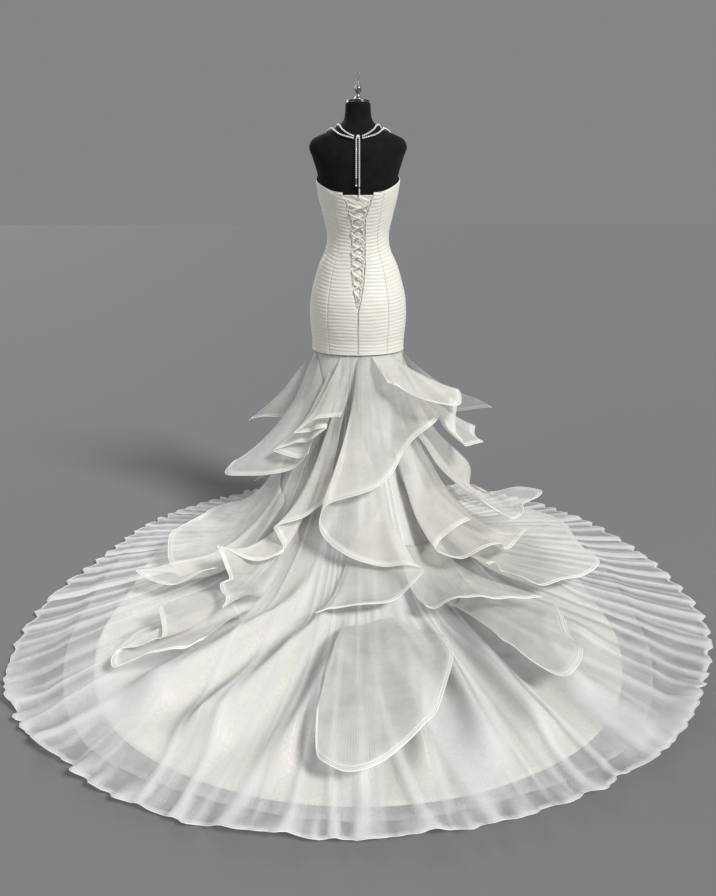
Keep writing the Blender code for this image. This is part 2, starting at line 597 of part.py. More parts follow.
def add_layer(name, collection, hem_column, below_column, below, wall, finish):
    """Closed wall of one skirt layer, lying on the layer below it and on the floor beyond that layer's hem."""
    around, rows, settled = layer_rows(hem_column, below_column)
    build = Builder()
    inside, outside = [], []
    for number, fall in enumerate(rows):
        rest = below if number < settled else 0.0
        inside.append(build.row(skirt_out(around, fall, np.full(len(around), rest))))
        outside.append(build.row(skirt_out(around, fall, np.full(len(around), rest + wall))))
    for rows_made in (inside, outside):
        for upper, lower in zip(rows_made, rows_made[1:]):
            build.join(upper, lower, closed=True)
    build.join(inside[0], outside[0], closed=True)
    build.join(inside[-1], outside[-1], closed=True)
    return add_mesh(name, collection, build.points, build.faces, finish)


def add_pleated_layer(name, collection, hem_column, below_column, below, wall, finish):
    """Outer tulle: plain inside; from the floor outwards its outside rises and falls once a knife pleat."""
    around, rows, settled = layer_rows(hem_column, below_column)
    build = Builder()
    fine = np.arange(2 * TULLE_PLEATS) * 180.0 / TULLE_PLEATS
    inside, outside = [], []
    for number, fall in enumerate(rows):
        rest = below if number < settled else 0.0
        inside.append(build.row(skirt_out(around, fall, np.full(len(around), rest))))
        if number < len(FALL_ROWS):
            outside.append(build.row(skirt_out(around, fall, np.full(len(around), rest + wall))))
        else:
            spread = np.interp(fine, np.append(around, 360), np.append(fall, fall[0]))
            pleat = TULLE_PLEAT_HEIGHT * (np.arange(len(fine)) % 2) * (number - len(FALL_ROWS) + 1) / 4
            outside.append(build.row(skirt_out(fine, spread, rest + wall + pleat)))
    for rows_made in (inside, outside):
        for upper, lower in zip(rows_made, rows_made[1:]):
            build.join(upper, lower, closed=True)
    build.join(inside[0], outside[0], closed=True)
    build.join(inside[-1], outside[-1], closed=True)
    return add_mesh(name, collection, build.points, build.faces, finish)


class Envelope:
    """Highest lift of the cloth already laid on the skirt, on a grid of azimuth and fall."""

    def __init__(self):
        self.azimuth_step, self.fall_step = 2.0, 0.02
        azimuth, fall = np.meshgrid(np.arange(180) * self.azimuth_step, np.arange(96) * self.fall_step, indexing="ij")
        self.grid = flat_lift(azimuth, fall)

    def read(self, azimuth, fall):
        x = (np.asarray(azimuth, float) % 360) / self.azimuth_step
        y = np.clip(np.asarray(fall, float) / self.fall_step, 0, 94.999)
        i, j = x.astype(int), y.astype(int)
        u, v = x - i, y - j
        i, k = i % 180, (i + 1) % 180
        return ((self.grid[i, j] * (1 - u) + self.grid[k, j] * u) * (1 - v)
                + (self.grid[i, j + 1] * (1 - u) + self.grid[k, j + 1] * u) * v)

    def lay(self, azimuth, fall, lift):
        top = np.zeros(self.grid.shape)
        i = np.round((azimuth % 360) / self.azimuth_step).astype(int) % 180
        j = np.clip(np.round(fall / self.fall_step).astype(int), 0, 95)
        np.maximum.at(top, (i, j), lift + FLOUNCE_WALL)
        seam = top[:, :5].copy()
        for _ in range(3):
            top = spread(top, np.maximum)
        for _ in range(3):
            top = spread(top, lambda a, b: (a + b) / 2)
        top[:, :5] = seam + (top[:, :5] - seam) * np.arange(5) / 5
        self.grid = np.maximum(top, self.grid)


def spread(grid, mix):
    """One step of a maximum or mean filter over the neighbours."""
    for shift in (1, -1):
        grid = mix(grid, np.roll(grid, shift, axis=0))
    padded = np.pad(grid, ((0, 0), (1, 1)), mode="edge")
    return mix(mix(grid, padded[:, :-2]), padded[:, 2:])


def fold_lines(table, split):
    """The table's columns, read at split points between each two folds, with a slope of nothing where a column
    turns back, so the sewn line and the hem turn back at the same fold."""
    steps = np.linspace(0, len(table) - 1, (len(table) - 1) * split + 1)
    cell = np.minimum(steps.astype(int), len(table) - 2)
    t = steps - cell
    lines = []
    for column in np.array(table, float).T:
        rise = np.diff(column)
        inner = np.where(rise[1:] * rise[:-1] > 0, (rise[1:] + rise[:-1]) / 2, 0)
        slope = np.concatenate([rise[:1], np.sign(inner) * np.minimum(
            abs(inner), 2 * np.minimum(abs(rise[1:]), abs(rise[:-1]))), rise[-1:]])
        lines.append((1 + 2 * t) * (1 - t) ** 2 * column[cell] + t * (1 - t) ** 2 * slope[cell]
                     + t * t * (3 - 2 * t) * column[cell + 1] + t * t * (t - 1) * slope[cell + 1])
    return lines


def tier_lines(tier, split):
    """The same five lines for a plain tier with even waves."""
    count = tier.waves * 2 * split
    azimuth = np.linspace(tier.start, tier.end, count + 1)
    wave = np.cos(np.linspace(0, 2 * np.pi * tier.waves, count + 1))
    hem = tier.hem_fall * (1 + 0.05 * wave)
    return azimuth, np.full(count + 1, tier.attach_fall), azimuth, hem, tier.lift * (0.75 + 0.25 * wave)


def flounce_grid(lines, envelope, rows):
    """Azimuth, fall and lift of each point between the attached line and the hem."""
    attach_azimuth, attach_fall, hem_azimuth, hem_fall, lift = (np.asarray(line)[:, None] for line in lines)
    attach_fall = np.maximum(attach_fall, SEAM_FALL)
    down = np.linspace(0, 1, rows + 1)[None, :]
    azimuth = attach_azimuth + (hem_azimuth - attach_azimuth) * down
    fall = attach_fall + (hem_fall - attach_fall) * down
    own = lift * down ** 1.3
    order = np.linspace(FOLD_GAP, 0, len(azimuth))[:, None]
    gap = SEWN_GAP + (FLOUNCE_GAP + order) * np.clip(down / 0.3, 0, 1)
    over = envelope.read(azimuth, fall) + gap + 0.5 * own
    return azimuth, fall, 0.5 * (over + own + np.sqrt((over - own) ** 2 + 0.001 ** 2))


def quad_corners(columns, rows):
    """Numbers of the corners of each quad in a grid whose points are numbered down its columns."""
    corner = np.arange(columns * rows).reshape(columns, rows)
    return np.stack([corner[:-1, :-1], corner[1:, :-1], corner[1:, 1:], corner[:-1, 1:]], -1).reshape(-1, 4)


def triangles(corners):
    """The two triangles of each quad, so both sides of a wall made from them bend along the same diagonal."""
    return np.concatenate([corners[:, :3], corners[:, [0, 2, 3]]])


def open_turns(points, away, azimuth):
    """Doubles each column at which the cloth turns back on itself: the first copy is raised by TURN_HEIGHT, so
    the turn is a small step and the wall keeps its thickness round it."""
    steps = np.diff(azimuth, axis=0)
    turns = 1 + np.flatnonzero((steps[1:] * steps[:-1] < 0).any(1))
    order = np.sort(np.concatenate([np.arange(len(points)), turns]))
    points, away = points[order], away[order]
    first = np.flatnonzero(order[1:] == order[:-1])
    points[first] += away[first] * TURN_HEIGHT
    return points, away


class Laid:
    """Faces of the cloth already laid, moved out to its outer side, which the next flounce must clear."""

    def __init__(self, skirt_layer):
        self.points, self.faces = [], []
        self.add(skirt_layer, 0.0)

    def add(self, item, half_wall):
        mesh, start = item.data, len(self.points)
        self.points += [vertex.co + vertex.normal * half_wall for vertex in mesh.vertices]
        self.faces += [tuple(start + corner for corner in face.vertices) for face in mesh.polygons]
        self.tree = BVHTree.FromPolygons(self.points, self.faces)

    def clearance(self, points, away, own=None):
        """How far each point lies out from the topmost cloth below it, the flounce's own folds with it."""
        found = []
        for point, direction in zip(points, away):
            start, inward = Vector(point) + Vector(direction) * PROBE, -Vector(direction)
            hits = [tree.ray_cast(start, inward)[3] for tree in (self.tree, own) if tree is not None]
            found.append(min([hit - PROBE for hit in hits if hit is not None], default=PROBE))
        return np.array(found)

    def seat(self, points, away, standing):
        """Brings a flounce's first row down to its seam. Then, from the last column to the first, raises the
        points of each strip between two columns till it is clear of the cloth below and of the strips after
        it, so a fold that turns back lies over the next one and the wall never crosses itself."""
        away = away / np.linalg.norm(away, axis=-1, keepdims=True)
        sewn = SEAM_GAP + SEAT_WALL
        points[:, 0] -= away[:, 0] * (self.clearance(points[:, 0], away[:, 0]) - sewn)[:, None]
        columns, rows = points.shape[:2]
        corners = quad_corners(2, rows)
        halves = triangles(corners)
        folds, own = [], None
        for column in range(columns - 2, -1, -1):
            flat = points[column:column + 2].reshape(-1, 3)
            out = away[column:column + 2].reshape(-1, 3)
            for _ in range(SEAT_ROUNDS):
                flat = flat + out * self.shortfall(flat, out, corners, own, standing)[:, None]
            points[column:column + 2] = flat.reshape(2, rows, 3)
            if column + 3 <= columns and not standing:
                folds.append(points[column + 1:column + 3].reshape(-1, 3))
                faces = [tuple(strip * 2 * rows + half) for strip in range(len(folds)) for half in halves]
                own = BVHTree.FromPolygons([Vector(p) for fold in folds for p in fold], faces)
        return points

    def shortfall(self, flat, out, corners, own, standing):
        """How far each corner has to rise for each quad's samples to be clear; the quads of a flounce whose
        folds stand side by side are smooth patches, the others are two triangles."""
        raised = np.zeros(len(flat))
        for u in SEAT_SAMPLES:
            for v in SEAT_SAMPLES:
                weights = np.array([1 - max(u, v), max(u - v, 0), min(u, v), max(v - u, 0)])
                if standing:
                    weights = np.array([(1 - u) * (1 - v), u * (1 - v), u * v, (1 - u) * v])
                place = np.einsum("i,qij->qj", weights, flat[corners])
                direction = np.einsum("i,qij->qj", weights, out[corners])
                direction /= np.linalg.norm(direction, axis=-1, keepdims=True)
                needed = SEAM_GAP + SEAT_WALL + SEAT_CLEAR * min(1, v * 4)
                short = needed - self.clearance(place, direction, own)
                for slot, weight in enumerate(weights):
                    if weight >= SEAT_SHARE:
                        np.maximum.at(raised, corners[:, slot], short)
        return raised


def add_flounces(collection, skirt_layer):
    """Organza flounces, laid from the floor up, each over those already laid."""
    organza = material("organza", ORGANZA, 0.6)
    envelope = Envelope()
    laid = Laid(skirt_layer)
    plans = [(name, TIERS[name], tier_lines) for name in ("front_lower",)]
    plans += [(name, table, fold_lines) for name, table in FLOUNCES.items() if name in LOW_FLOUNCES]
    plans += [("front_middle", TIERS["front_middle"], tier_lines)]
    plans += [(name, table, fold_lines) for name, table in FLOUNCES.items() if name not in LOW_FLOUNCES]
    plans += [("front_upper", TIERS["front_upper"], tier_lines)]
    for name, table, reader in plans:
        fine = flounce_grid(reader(table, 6), envelope, 24)
        rows = TIER_ROWS if reader is tier_lines else FLOUNCE_ROWS
        azimuth, fall, lift = flounce_grid(reader(table, FOLDS_SPLIT), envelope, rows)
        points, away = skirt_out(azimuth, fall, lift), skirt_away(azimuth, fall)
        if reader is fold_lines and name not in STANDING:
            points, away = open_turns(points, away, azimuth)
        standing = name in STANDING or reader is tier_lines
        points = laid.seat(points, away, standing)
        corners = quad_corners(*points.shape[:2])
        faces = (corners if standing else triangles(corners)).tolist()
        made = add_mesh(f"flounce_{name}", collection, points.reshape(-1, 3), faces, organza)
        laid.add(made, FLOUNCE_WALL / 2)
        thicken(made, FLOUNCE_WALL, 0.0)
        envelope.lay(*(part.ravel() for part in fine))


def main():
    clear_scene()
    collection = bpy.data.collections.new("mermaid_gown")
    bpy.context.scene.collection.children.link(collection)
    add_form(collection)
    add_bodice(collection)
    add_lacing(collection)
    add_pearls(collection)
    satin = material("skirt_satin", IVORY, 0.45)
    tulle = material("tulle", TULLE_WHITE, 0.7)
    add_layer("satin_skirt", collection, "satin", None, 0.0, SATIN_WALL, satin)
    under = SATIN_WALL + SEAM_GAP
    add_layer("tulle_under", collection, "under", "satin", under, TULLE_WALL, tulle)
    outer = add_pleated_layer("tulle_over", collection, "over", "under", under + TULLE_WALL + SEAM_GAP,
                              TULLE_WALL, tulle)
    add_flounces(collection, outer)


main()
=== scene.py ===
"""Looks of the mermaid gown on its black dress form, in metres, +Z up.

The gown's back faces -Y. An azimuth is measured round the form: 0 at the back, 90 at +X, 180 at the front.
The skirt is one surface of azimuth and fall: fall runs from 0 at the dropped waist to 1 where the bell meets
the floor, and from there on it counts metres along the floor. Every layer and flounce is that surface, moved out.
"""
from collections import namedtuple

import bmesh
import bpy
import numpy as np
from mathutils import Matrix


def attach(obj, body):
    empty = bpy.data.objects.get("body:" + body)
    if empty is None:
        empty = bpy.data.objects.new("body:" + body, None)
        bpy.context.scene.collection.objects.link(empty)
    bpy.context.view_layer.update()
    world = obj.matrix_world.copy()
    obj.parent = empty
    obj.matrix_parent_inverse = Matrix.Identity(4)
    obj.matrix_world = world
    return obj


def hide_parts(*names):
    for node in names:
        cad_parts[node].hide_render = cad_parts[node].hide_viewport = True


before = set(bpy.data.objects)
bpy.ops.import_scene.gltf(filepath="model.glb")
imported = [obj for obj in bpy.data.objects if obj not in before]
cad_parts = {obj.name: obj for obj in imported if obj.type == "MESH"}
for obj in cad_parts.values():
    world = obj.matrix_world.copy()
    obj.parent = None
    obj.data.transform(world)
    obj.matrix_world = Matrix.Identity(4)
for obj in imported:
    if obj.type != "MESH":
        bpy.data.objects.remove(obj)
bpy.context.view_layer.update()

# Sizes of the form and the bodice, as in the CAD
Section = namedtuple("Section", "height half_width back_depth front_depth")
TORSO = [
    Section(0.800, 0.162, 0.122, 0.112),
    Section(0.850, 0.167, 0.128, 0.114),
    Section(0.940, 0.166, 0.126, 0.108),
    Section(1.010, 0.150, 0.108, 0.098),
    Section(1.066, 0.132, 0.094, 0.088),
    Section(1.115, 0.109, 0.085, 0.082),
    Section(1.155, 0.101, 0.081, 0.080),
    Section(1.234, 0.115, 0.091, 0.096),
    Section(1.300, 0.131, 0.100, 0.122),
    Section(1.335, 0.136, 0.102, 0.124),
    Section(1.370, 0.141, 0.101, 0.112),
    Section(1.420, 0.156, 0.094, 0.086),
    Section(1.460, 0.166, 0.080, 0.066),
    Section(1.482, 0.150, 0.072, 0.060),
    Section(1.500, 0.108, 0.065, 0.055),
    Section(1.515, 0.075, 0.058, 0.052),
    Section(1.532, 0.053, 0.052, 0.050),
    Section(1.560, 0.044, 0.046, 0.047),
    Section(1.588, 0.042, 0.044, 0.046),
]
SEAM_GAP = 0.0003
SEAM_RADIUS = 0.060
BODICE_INNER = 0.0052
BODICE_OUTER = 0.0070
TUCK_DEPTH = 0.0022
TUCK_COUNT = 44
WAIST_CORD = 0.0030
LACE_RADIUS = 0.0024
DROP_WAIST = 0.760
NECKLINE = ([0, 38, 62, 90, 118, 150, 180], [1.306, 1.311, 1.330, 1.352, 1.372, 1.392, 1.366])
PRINCESS_BACK = 38.0
PRINCESS_FRONT = 142.0
LACING = [(0.760, 0.0007), (0.905, 0.0015), (0.973, 0.016), (1.018, 0.022), (1.072, 0.026), (1.147, 0.025),
          (1.223, 0.026), (1.302, 0.052), (1.400, 0.062)]
LOOP_COUNT = 11
LACING_BOTTOM = 0.935
LACING_TOP = 1.290

# Skirt: where the bell meets the floor, and each hem's radius, at each azimuth from the back
Hem = namedtuple("Hem", "azimuth bell satin under over_left over_right")
HEMS = [
    Hem(0, 0.78, 1.39, 1.43, 1.50, 1.50),
    Hem(15, 0.77, 1.37, 1.41, 1.50, 1.49),
    Hem(30, 0.75, 1.30, 1.38, 1.475, 1.46),
    Hem(45, 0.72, 1.13, 1.23, 1.40, 1.39),
    Hem(60, 0.68, 0.92, 1.05, 1.22, 1.30),
    Hem(75, 0.62, 0.81, 0.93, 1.01, 1.14),
    Hem(90, 0.56, 0.72, 0.80, 0.89, 1.00),
    Hem(105, 0.49, 0.64, 0.69, 0.77, 0.85),
    Hem(120, 0.43, 0.55, 0.59, 0.65, 0.71),
    Hem(150, 0.36, 0.45, 0.48, 0.51, 0.53),
    Hem(180, 0.34, 0.42, 0.44, 0.46, 0.46),
]
RIDGE_GAIN = 1.25
SKIRT_TOP = DROP_WAIST - SEAM_GAP
SKIRT_HALF_WIDTH = 0.1600
SKIRT_BACK = 0.1200
SKIRT_FRONT = 0.1095
BELL_DROP = 0.42
BELL_LEAN = (0.12, 0.50)
RIPPLES = 7
RIPPLE_DEPTH = 0.010
LEVEL_FALL = 0.25
SATIN_WALL = 0.0018
NET_WALL = 0.0008
LAYER_GAP = 0.0008

# Soft folds that lie in the satin and show through the net: a line from its top to its end, width in degrees
Ridge = namedtuple("Ridge", "top_azimuth top_fall bend_azimuth bend_fall end_azimuth end_fall width height")
RIDGES = [
    Ridge(-16, 0.66, -25.5, 1.25, -31.0, 1.64, 5.5, 0.062),
    Ridge(-6, 0.70, -14.5, 1.25, -20.0, 1.68, 5.0, 0.058),
    Ridge(-30, 0.66, -37.0, 1.12, -43.0, 1.50, 5.0, 0.030),
    Ridge(-1, 0.80, -7.0, 1.35, -10.5, 1.74, 3.0, 0.038),
    Ridge(-19, 1.06, -20.2, 1.50, -25.0, 1.76, 2.2, 0.020),
    Ridge(4, 0.86, 1.0, 1.35, -1.5, 1.76, 2.6, 0.026),
    Ridge(12, 0.84, 8.0, 1.35, 7.0, 1.76, 2.6, 0.030),
    Ridge(19, 0.84, 15.5, 1.36, 14.5, 1.76, 3.0, 0.036),
    Ridge(26, 0.80, 23.0, 1.36, 23.0, 1.72, 3.4, 0.038),
    Ridge(33, 0.78, 32.0, 1.30, 33.0, 1.62, 3.4, 0.032),
    Ridge(42, 0.72, 43.0, 1.18, 44.0, 1.50, 4.0, 0.026),
    Ridge(54, 0.66, 56.0, 1.06, 58.0, 1.32, 5.0, 0.020),
    Ridge(-48, 0.64, -54.0, 1.00, -60.0, 1.26, 5.0, 0.020),
    Ridge(-70, 0.62, -73.0, 0.92, -76.0, 1.14, 6.0, 0.014),
    Ridge(72, 0.62, 75.0, 0.92, 78.0, 1.16, 6.0, 0.014),
]

# Organza flounces: one row for each fold, from the sewn line to the hem; lift is the hem's distance off the skirt
Fold = namedtuple("Fold", "attach_azimuth attach_fall hem_azimuth hem_fall lift")
FLOUNCES = {
    "floor_left": [
        Fold(-40, 0.93, -41, 1.22, 0.040), Fold(-37, 0.95, -35, 1.27, 0.060), Fold(-33, 0.96, -32, 1.33, 0.065),
        Fold(-34, 0.97, -37.5, 1.40, 0.050), Fold(-33, 0.99, -36, 1.44, 0.025), Fold(-30, 1.00, -32, 1.39, 0.015),
        Fold(-28, 1.01, -28, 1.33, 0.012), Fold(-26, 1.02, -26, 1.25, 0.010)],
    "floor_back": [
        Fold(-4, 0.96, -5, 1.40, 0.025), Fold(-2, 0.94, -4, 1.54, 0.035), Fold(0, 0.93, 0, 1.575, 0.045),
        Fold(2, 0.92, 5, 1.51, 0.050), Fold(4, 0.91, 9, 1.435, 0.060), Fold(6, 0.90, 12, 1.34, 0.070),
        Fold(8, 0.90, 15.5, 1.22, 0.060), Fold(10, 0.90, 16.5, 1.12, 0.040)],
    "floor_right": [
        Fold(25, 0.85, 25, 1.20, 0.020), Fold(26, 0.90, 26, 1.30, 0.030), Fold(28, 0.92, 29, 1.43, 0.035),
        Fold(31, 0.90, 34, 1.39, 0.050), Fold(34, 0.85, 38, 1.29, 0.060), Fold(38, 0.82, 43, 1.20, 0.050)],
    "outer_left": [
        Fold(-44, 0.52, -42, 0.98, 0.040), Fold(-46, 0.50, -46, 1.10, 0.050), Fold(-52, 0.48, -55, 1.22, 0.110),
        Fold(-51, 0.48, -54, 1.14, 0.075), Fold(-50, 0.49, -52, 1.07, 0.025), Fold(-58, 0.45, -59, 1.10, 0.070),
        Fold(-70, 0.38, -68, 1.10, 0.120), Fold(-78, 0.34, -78, 0.98, 0.130), Fold(-90, 0.30, -92, 0.85, 0.100)],
    "inner_right": [
        Fold(14, 0.60, 17, 0.94, 0.030), Fold(17, 0.62, 22, 1.00, 0.040), Fold(22, 0.64, 27, 1.05, 0.040),
        Fold(30, 0.65, 34, 1.11, 0.040), Fold(38, 0.66, 40, 1.17, 0.050)],
    "low_right": [
        Fold(38, 0.55, 38, 0.92, 0.040), Fold(43, 0.58, 45, 0.96, 0.050), Fold(44, 0.62, 46.5, 1.07, 0.050),
        Fold(50, 0.60, 54, 1.19, 0.060), Fold(56, 0.58, 62, 1.28, 0.100), Fold(62, 0.56, 68, 1.21, 0.110),
        Fold(70, 0.52, 77, 1.20, 0.115), Fold(82, 0.48, 90, 1.12, 0.100)],
    "middle_left": [
        Fold(-10, 0.12, -14, 0.48, 0.040), Fold(-16, 0.14, -22, 0.56, 0.080), Fold(-22, 0.17, -33, 0.63, 0.110),
        Fold(-21.5, 0.24, -31, 0.66, 0.080), Fold(-21, 0.30, -28, 0.70, 0.055), Fold(-25, 0.34, -33, 0.77, 0.075),
        Fold(-32, 0.37, -43, 0.87, 0.100), Fold(-31.5, 0.44, -40, 0.92, 0.070), Fold(-30.5, 0.50, -35.5, 0.97, 0.045),
        Fold(-30, 0.55, -35, 1.03, 0.040), Fold(-29, 0.60, -30, 1.07, 0.030), Fold(-27, 0.62, -28, 1.12, 0.020)],
    "middle_right": [
        Fold(50, 0.28, 52, 0.64, 0.060), Fold(38, 0.28, 39, 0.65, 0.070), Fold(28, 0.30, 27, 0.71, 0.060),
        Fold(29, 0.40, 32, 0.79, 0.045), Fold(37, 0.44, 41, 0.86, 0.050), Fold(44, 0.46, 49, 0.89, 0.055),
        Fold(52, 0.47, 58, 0.95, 0.060), Fold(60, 0.48, 68, 1.03, 0.060)],
    "corner_right": [
        Fold(44, 0.22, 47, 0.60, 0.090), Fold(50, 0.22, 54, 0.78, 0.120), Fold(58, 0.23, 64, 0.93, 0.150),
        Fold(65, 0.24, 76, 1.04, 0.150), Fold(73, 0.24, 84, 1.14, 0.150), Fold(86, 0.24, 97, 1.00, 0.140),
        Fold(98, 0.22, 108, 0.86, 0.120)],
    "centre": [
        Fold(44, 0.00, 60, 0.22, 0.080), Fold(26, 0.00, 29, 0.32, 0.095), Fold(11, 0.00, 7, 0.44, 0.100),
        Fold(-1, 0.02, -10, 0.50, 0.100), Fold(-3, 0.12, -14, 0.585, 0.075), Fold(3, 0.27, -3, 0.67, 0.060),
        Fold(9, 0.35, 13, 0.735, 0.060), Fold(13, 0.43, 19, 0.79, 0.050), Fold(10, 0.50, 9.5, 0.87, 0.040),
        Fold(2, 0.55, -5, 0.895, 0.035), Fold(-3, 0.60, -10, 0.975, 0.025)],
    "upper_left": [
        Fold(-4, 0.006, -8, 0.205, 0.070), Fold(-13, 0.006, -25, 0.22, 0.110), Fold(-22, 0.006, -41, 0.285, 0.125),
        Fold(-21, 0.03, -30, 0.265, 0.085), Fold(-19, 0.06, -17, 0.25, 0.055), Fold(-21, 0.08, -28, 0.295, 0.065),
        Fold(-28, 0.07, -41, 0.315, 0.095), Fold(-35, 0.06, -50, 0.365, 0.115), Fold(-34, 0.09, -39, 0.365, 0.080),
        Fold(-33, 0.11, -28, 0.34, 0.050), Fold(-38, 0.11, -42, 0.41, 0.070), Fold(-47, 0.07, -53, 0.47, 0.120),
        Fold(-57, 0.03, -60, 0.53, 0.205), Fold(-67, 0.01, -75, 0.50, 0.180), Fold(-78, 0.006, -90, 0.42, 0.120)],
    "upper_right": [
        Fold(17, 0.006, 23, 0.08, 0.030), Fold(23, 0.006, 31, 0.10, 0.060), Fold(33, 0.006, 43, 0.17, 0.110),
        Fold(40, 0.006, 52, 0.21, 0.130), Fold(47, 0.01, 60, 0.14, 0.200), Fold(53, 0.02, 66, 0.20, 0.180),
        Fold(54, 0.03, 62, 0.30, 0.150), Fold(56, 0.05, 60, 0.375, 0.120), Fold(66, 0.05, 68, 0.41, 0.190),
        Fold(76, 0.05, 78, 0.43, 0.220), Fold(86, 0.04, 92, 0.37, 0.190)],
}
Tier = namedtuple("Tier", "start end attach_fall hem_fall lift waves")
TIERS = {
    "front_lower": Tier(96, 264, 0.50, 0.90, 0.070, 5),
    "front_middle": Tier(96, 264, 0.24, 0.60, 0.090, 5),
    "front_upper": Tier(92, 278, 0.00, 0.30, 0.120, 6),
}
LAYING_ORDER = ["front_lower", "floor_left", "floor_back", "floor_right", "outer_left", "inner_right", "low_right",
                "front_middle", "middle_left", "middle_right", "corner_right", "centre", "upper_left",
                "upper_right", "front_upper"]
SEAM_FALL = 0.002
ORGANZA_WALL = 0.0008
FLOUNCE_GAP = 0.006
FOLD_GAP = 0.020
FOLD_COLUMNS = 12
FLOUNCE_ROWS = 30
HEM_BAND = 0.013
PIPING_RADIUS = 0.0014
STITCH_RADIUS = 0.0007

# Pearl strands: (height, azimuth) points on the form, from the front neckline to the nape
STRAND_UPPER = [(1.3886, 153), (1.435, 151), (1.470, 146), (1.497, 132), (1.515, 104), (1.519, 76), (1.514, 50),
                (1.499, 25), (1.4824, 5.9)]
STRAND_LOWER = [(1.3925, 144), (1.435, 143), (1.464, 140), (1.487, 125), (1.502, 100), (1.507, 74), (1.501, 48),
                (1.487, 24), (1.4756, 5.9)]
PEARL_RADIUS = 0.0030
PEARL_OUT = 0.0046
TAIL_OUT = 0.0058
TAIL_TOP = 1.4725
TAILS = {"left": (-0.0060, 1.330), "right": (0.0045, 1.292)}
CLASP_HEIGHT = 1.479
CLASP_OUT = 0.0066


def smooth_read(knots, values, where):
    """Cubic through the knots, with the slopes that numpy.gradient gives."""
    knots = np.asarray(knots, float)
    values = np.asarray(values, float)
    where = np.clip(where, knots[0], knots[-1])
    slopes = np.gradient(values, knots)
    cell = np.clip(np.searchsorted(knots, where, side="right") - 1, 0, len(knots) - 2)
    width = knots[cell + 1] - knots[cell]
    t = (where - knots[cell]) / width
    return ((1 + 2 * t) * (1 - t) ** 2 * values[cell] + t * (1 - t) ** 2 * width * slopes[cell]
            + t * t * (3 - 2 * t) * values[cell + 1] + t * t * (t - 1) * width * slopes[cell + 1])


def ease(low, high, where):
    """0 below low, 1 above high, and 3t^2 - 2t^3 between them."""
    t = np.clip((where - low) / (high - low), 0, 1)
    return t * t * (3 - 2 * t)


def uneven(x, y=0.0, start=0.0):
    """Quiet unevenness between about -1 and 1: the mean of three sines whose waves never line up."""
    return (np.sin(1.00 * x + 0.73 * y + start) + np.sin(1.83 * x - 1.21 * y + 2.1 * start + 1.3)
            + np.sin(2.71 * x + 1.57 * y - start + 4.1)) / 2.4


def unit(vectors):
    return vectors / np.maximum(np.linalg.norm(vectors, axis=-1, keepdims=True), 1e-9)


def torso(height, azimuth, out=0.0):
    """Half an ellipse for the back and half for the front, whose widths are read at this height, plus out."""
    height, azimuth = np.broadcast_arrays(np.asarray(height, float), np.asarray(azimuth, float))
    heights = [row.height for row in TORSO]
    width = smooth_read(heights, [row.half_width for row in TORSO], height) + out
    back = smooth_read(heights, [row.back_depth for row in TORSO], height) + out
    front = smooth_read(heights, [row.front_depth for row in TORSO], height) + out
    angle = np.radians(azimuth)
    depth = np.where(np.cos(angle) > 0, back, front)
    return np.stack([width * np.sin(angle), -depth * np.cos(angle), height], -1)


def torso_out(height, azimuth, distance):
    """Point of the form's surface, moved out along its normal."""
    step = 0.002
    along = torso(height, np.add(azimuth, 1.0)) - torso(height, np.subtract(azimuth, 1.0))
    up = torso(np.add(height, step), azimuth) - torso(np.subtract(height, step), azimuth)
    return torso(height, azimuth) + unit(np.cross(along, up)) * np.asarray(distance)[..., None]


def torso_azimuth(height, across):
    """Azimuth at which the form's back section is this far across."""
    width = smooth_read([row.height for row in TORSO], [row.half_width for row in TORSO], height) + BODICE_INNER
    return np.degrees(np.arcsin(np.clip(across / width, -1, 1)))


def lacing_half(height):
    return np.interp(height, [z for z, _ in LACING], [half for _, half in LACING])


def neckline(azimuth):
    """Height of the top edge: low at the back, up under the arms, sweetheart at the front."""
    return smooth_read(*NECKLINE, np.abs((np.asarray(azimuth, float) + 180) % 360 - 180))


def hem_radius(column, azimuth):
    """A column of the hem table at this azimuth; the outer net has a left and a right side."""
    azimuth = (np.asarray(azimuth, float) + 180) % 360 - 180
    knots = [row.azimuth for row in HEMS]
    turned = [-a for a in knots[:0:-1]] + knots
    if column == "over":
        values = [row.over_left for row in HEMS[:0:-1]] + [row.over_right for row in HEMS]
    else:
        half = [getattr(row, column) for row in HEMS]
        values = half[:0:-1] + half
    return smooth_read(turned, values, azimuth)


def skirt(azimuth, fall):
    """A bell: its outline is a cubic curve from the waist's ellipse down to the floor at fall 1, with seven
    low ripples round it, and beyond fall 1 it lies flat, fall - 1 metres further out."""
    azimuth, fall = np.broadcast_arrays(np.asarray(azimuth, float), np.asarray(fall, float))
    angle = np.radians(azimuth)
    outward = np.stack([np.sin(angle), -np.cos(angle)], -1)
    depth = np.where(np.cos(angle) > 0, SKIRT_BACK, SKIRT_FRONT)
    top = np.stack([SKIRT_HALF_WIDTH * np.sin(angle), -depth * np.cos(angle)], -1)
    t = np.clip(fall, 0, 1)
    early, late = 3 * (1 - t) ** 2 * t, 3 * (1 - t) * t * t
    lean = BELL_LEAN[0] * early + BELL_LEAN[1] * late + t ** 3
    ripple = RIPPLE_DEPTH * np.sin(np.pi * t) ** 2 * np.cos(RIPPLES * angle)
    reach = hem_radius("bell", azimuth) * lean + ripple + np.maximum(fall - 1, 0)
    flat = top * (1 - lean)[..., None] + outward * reach[..., None]
    height = SKIRT_TOP * (1 - t) ** 3 + BELL_DROP * early
    return np.concatenate([flat, height[..., None]], -1)


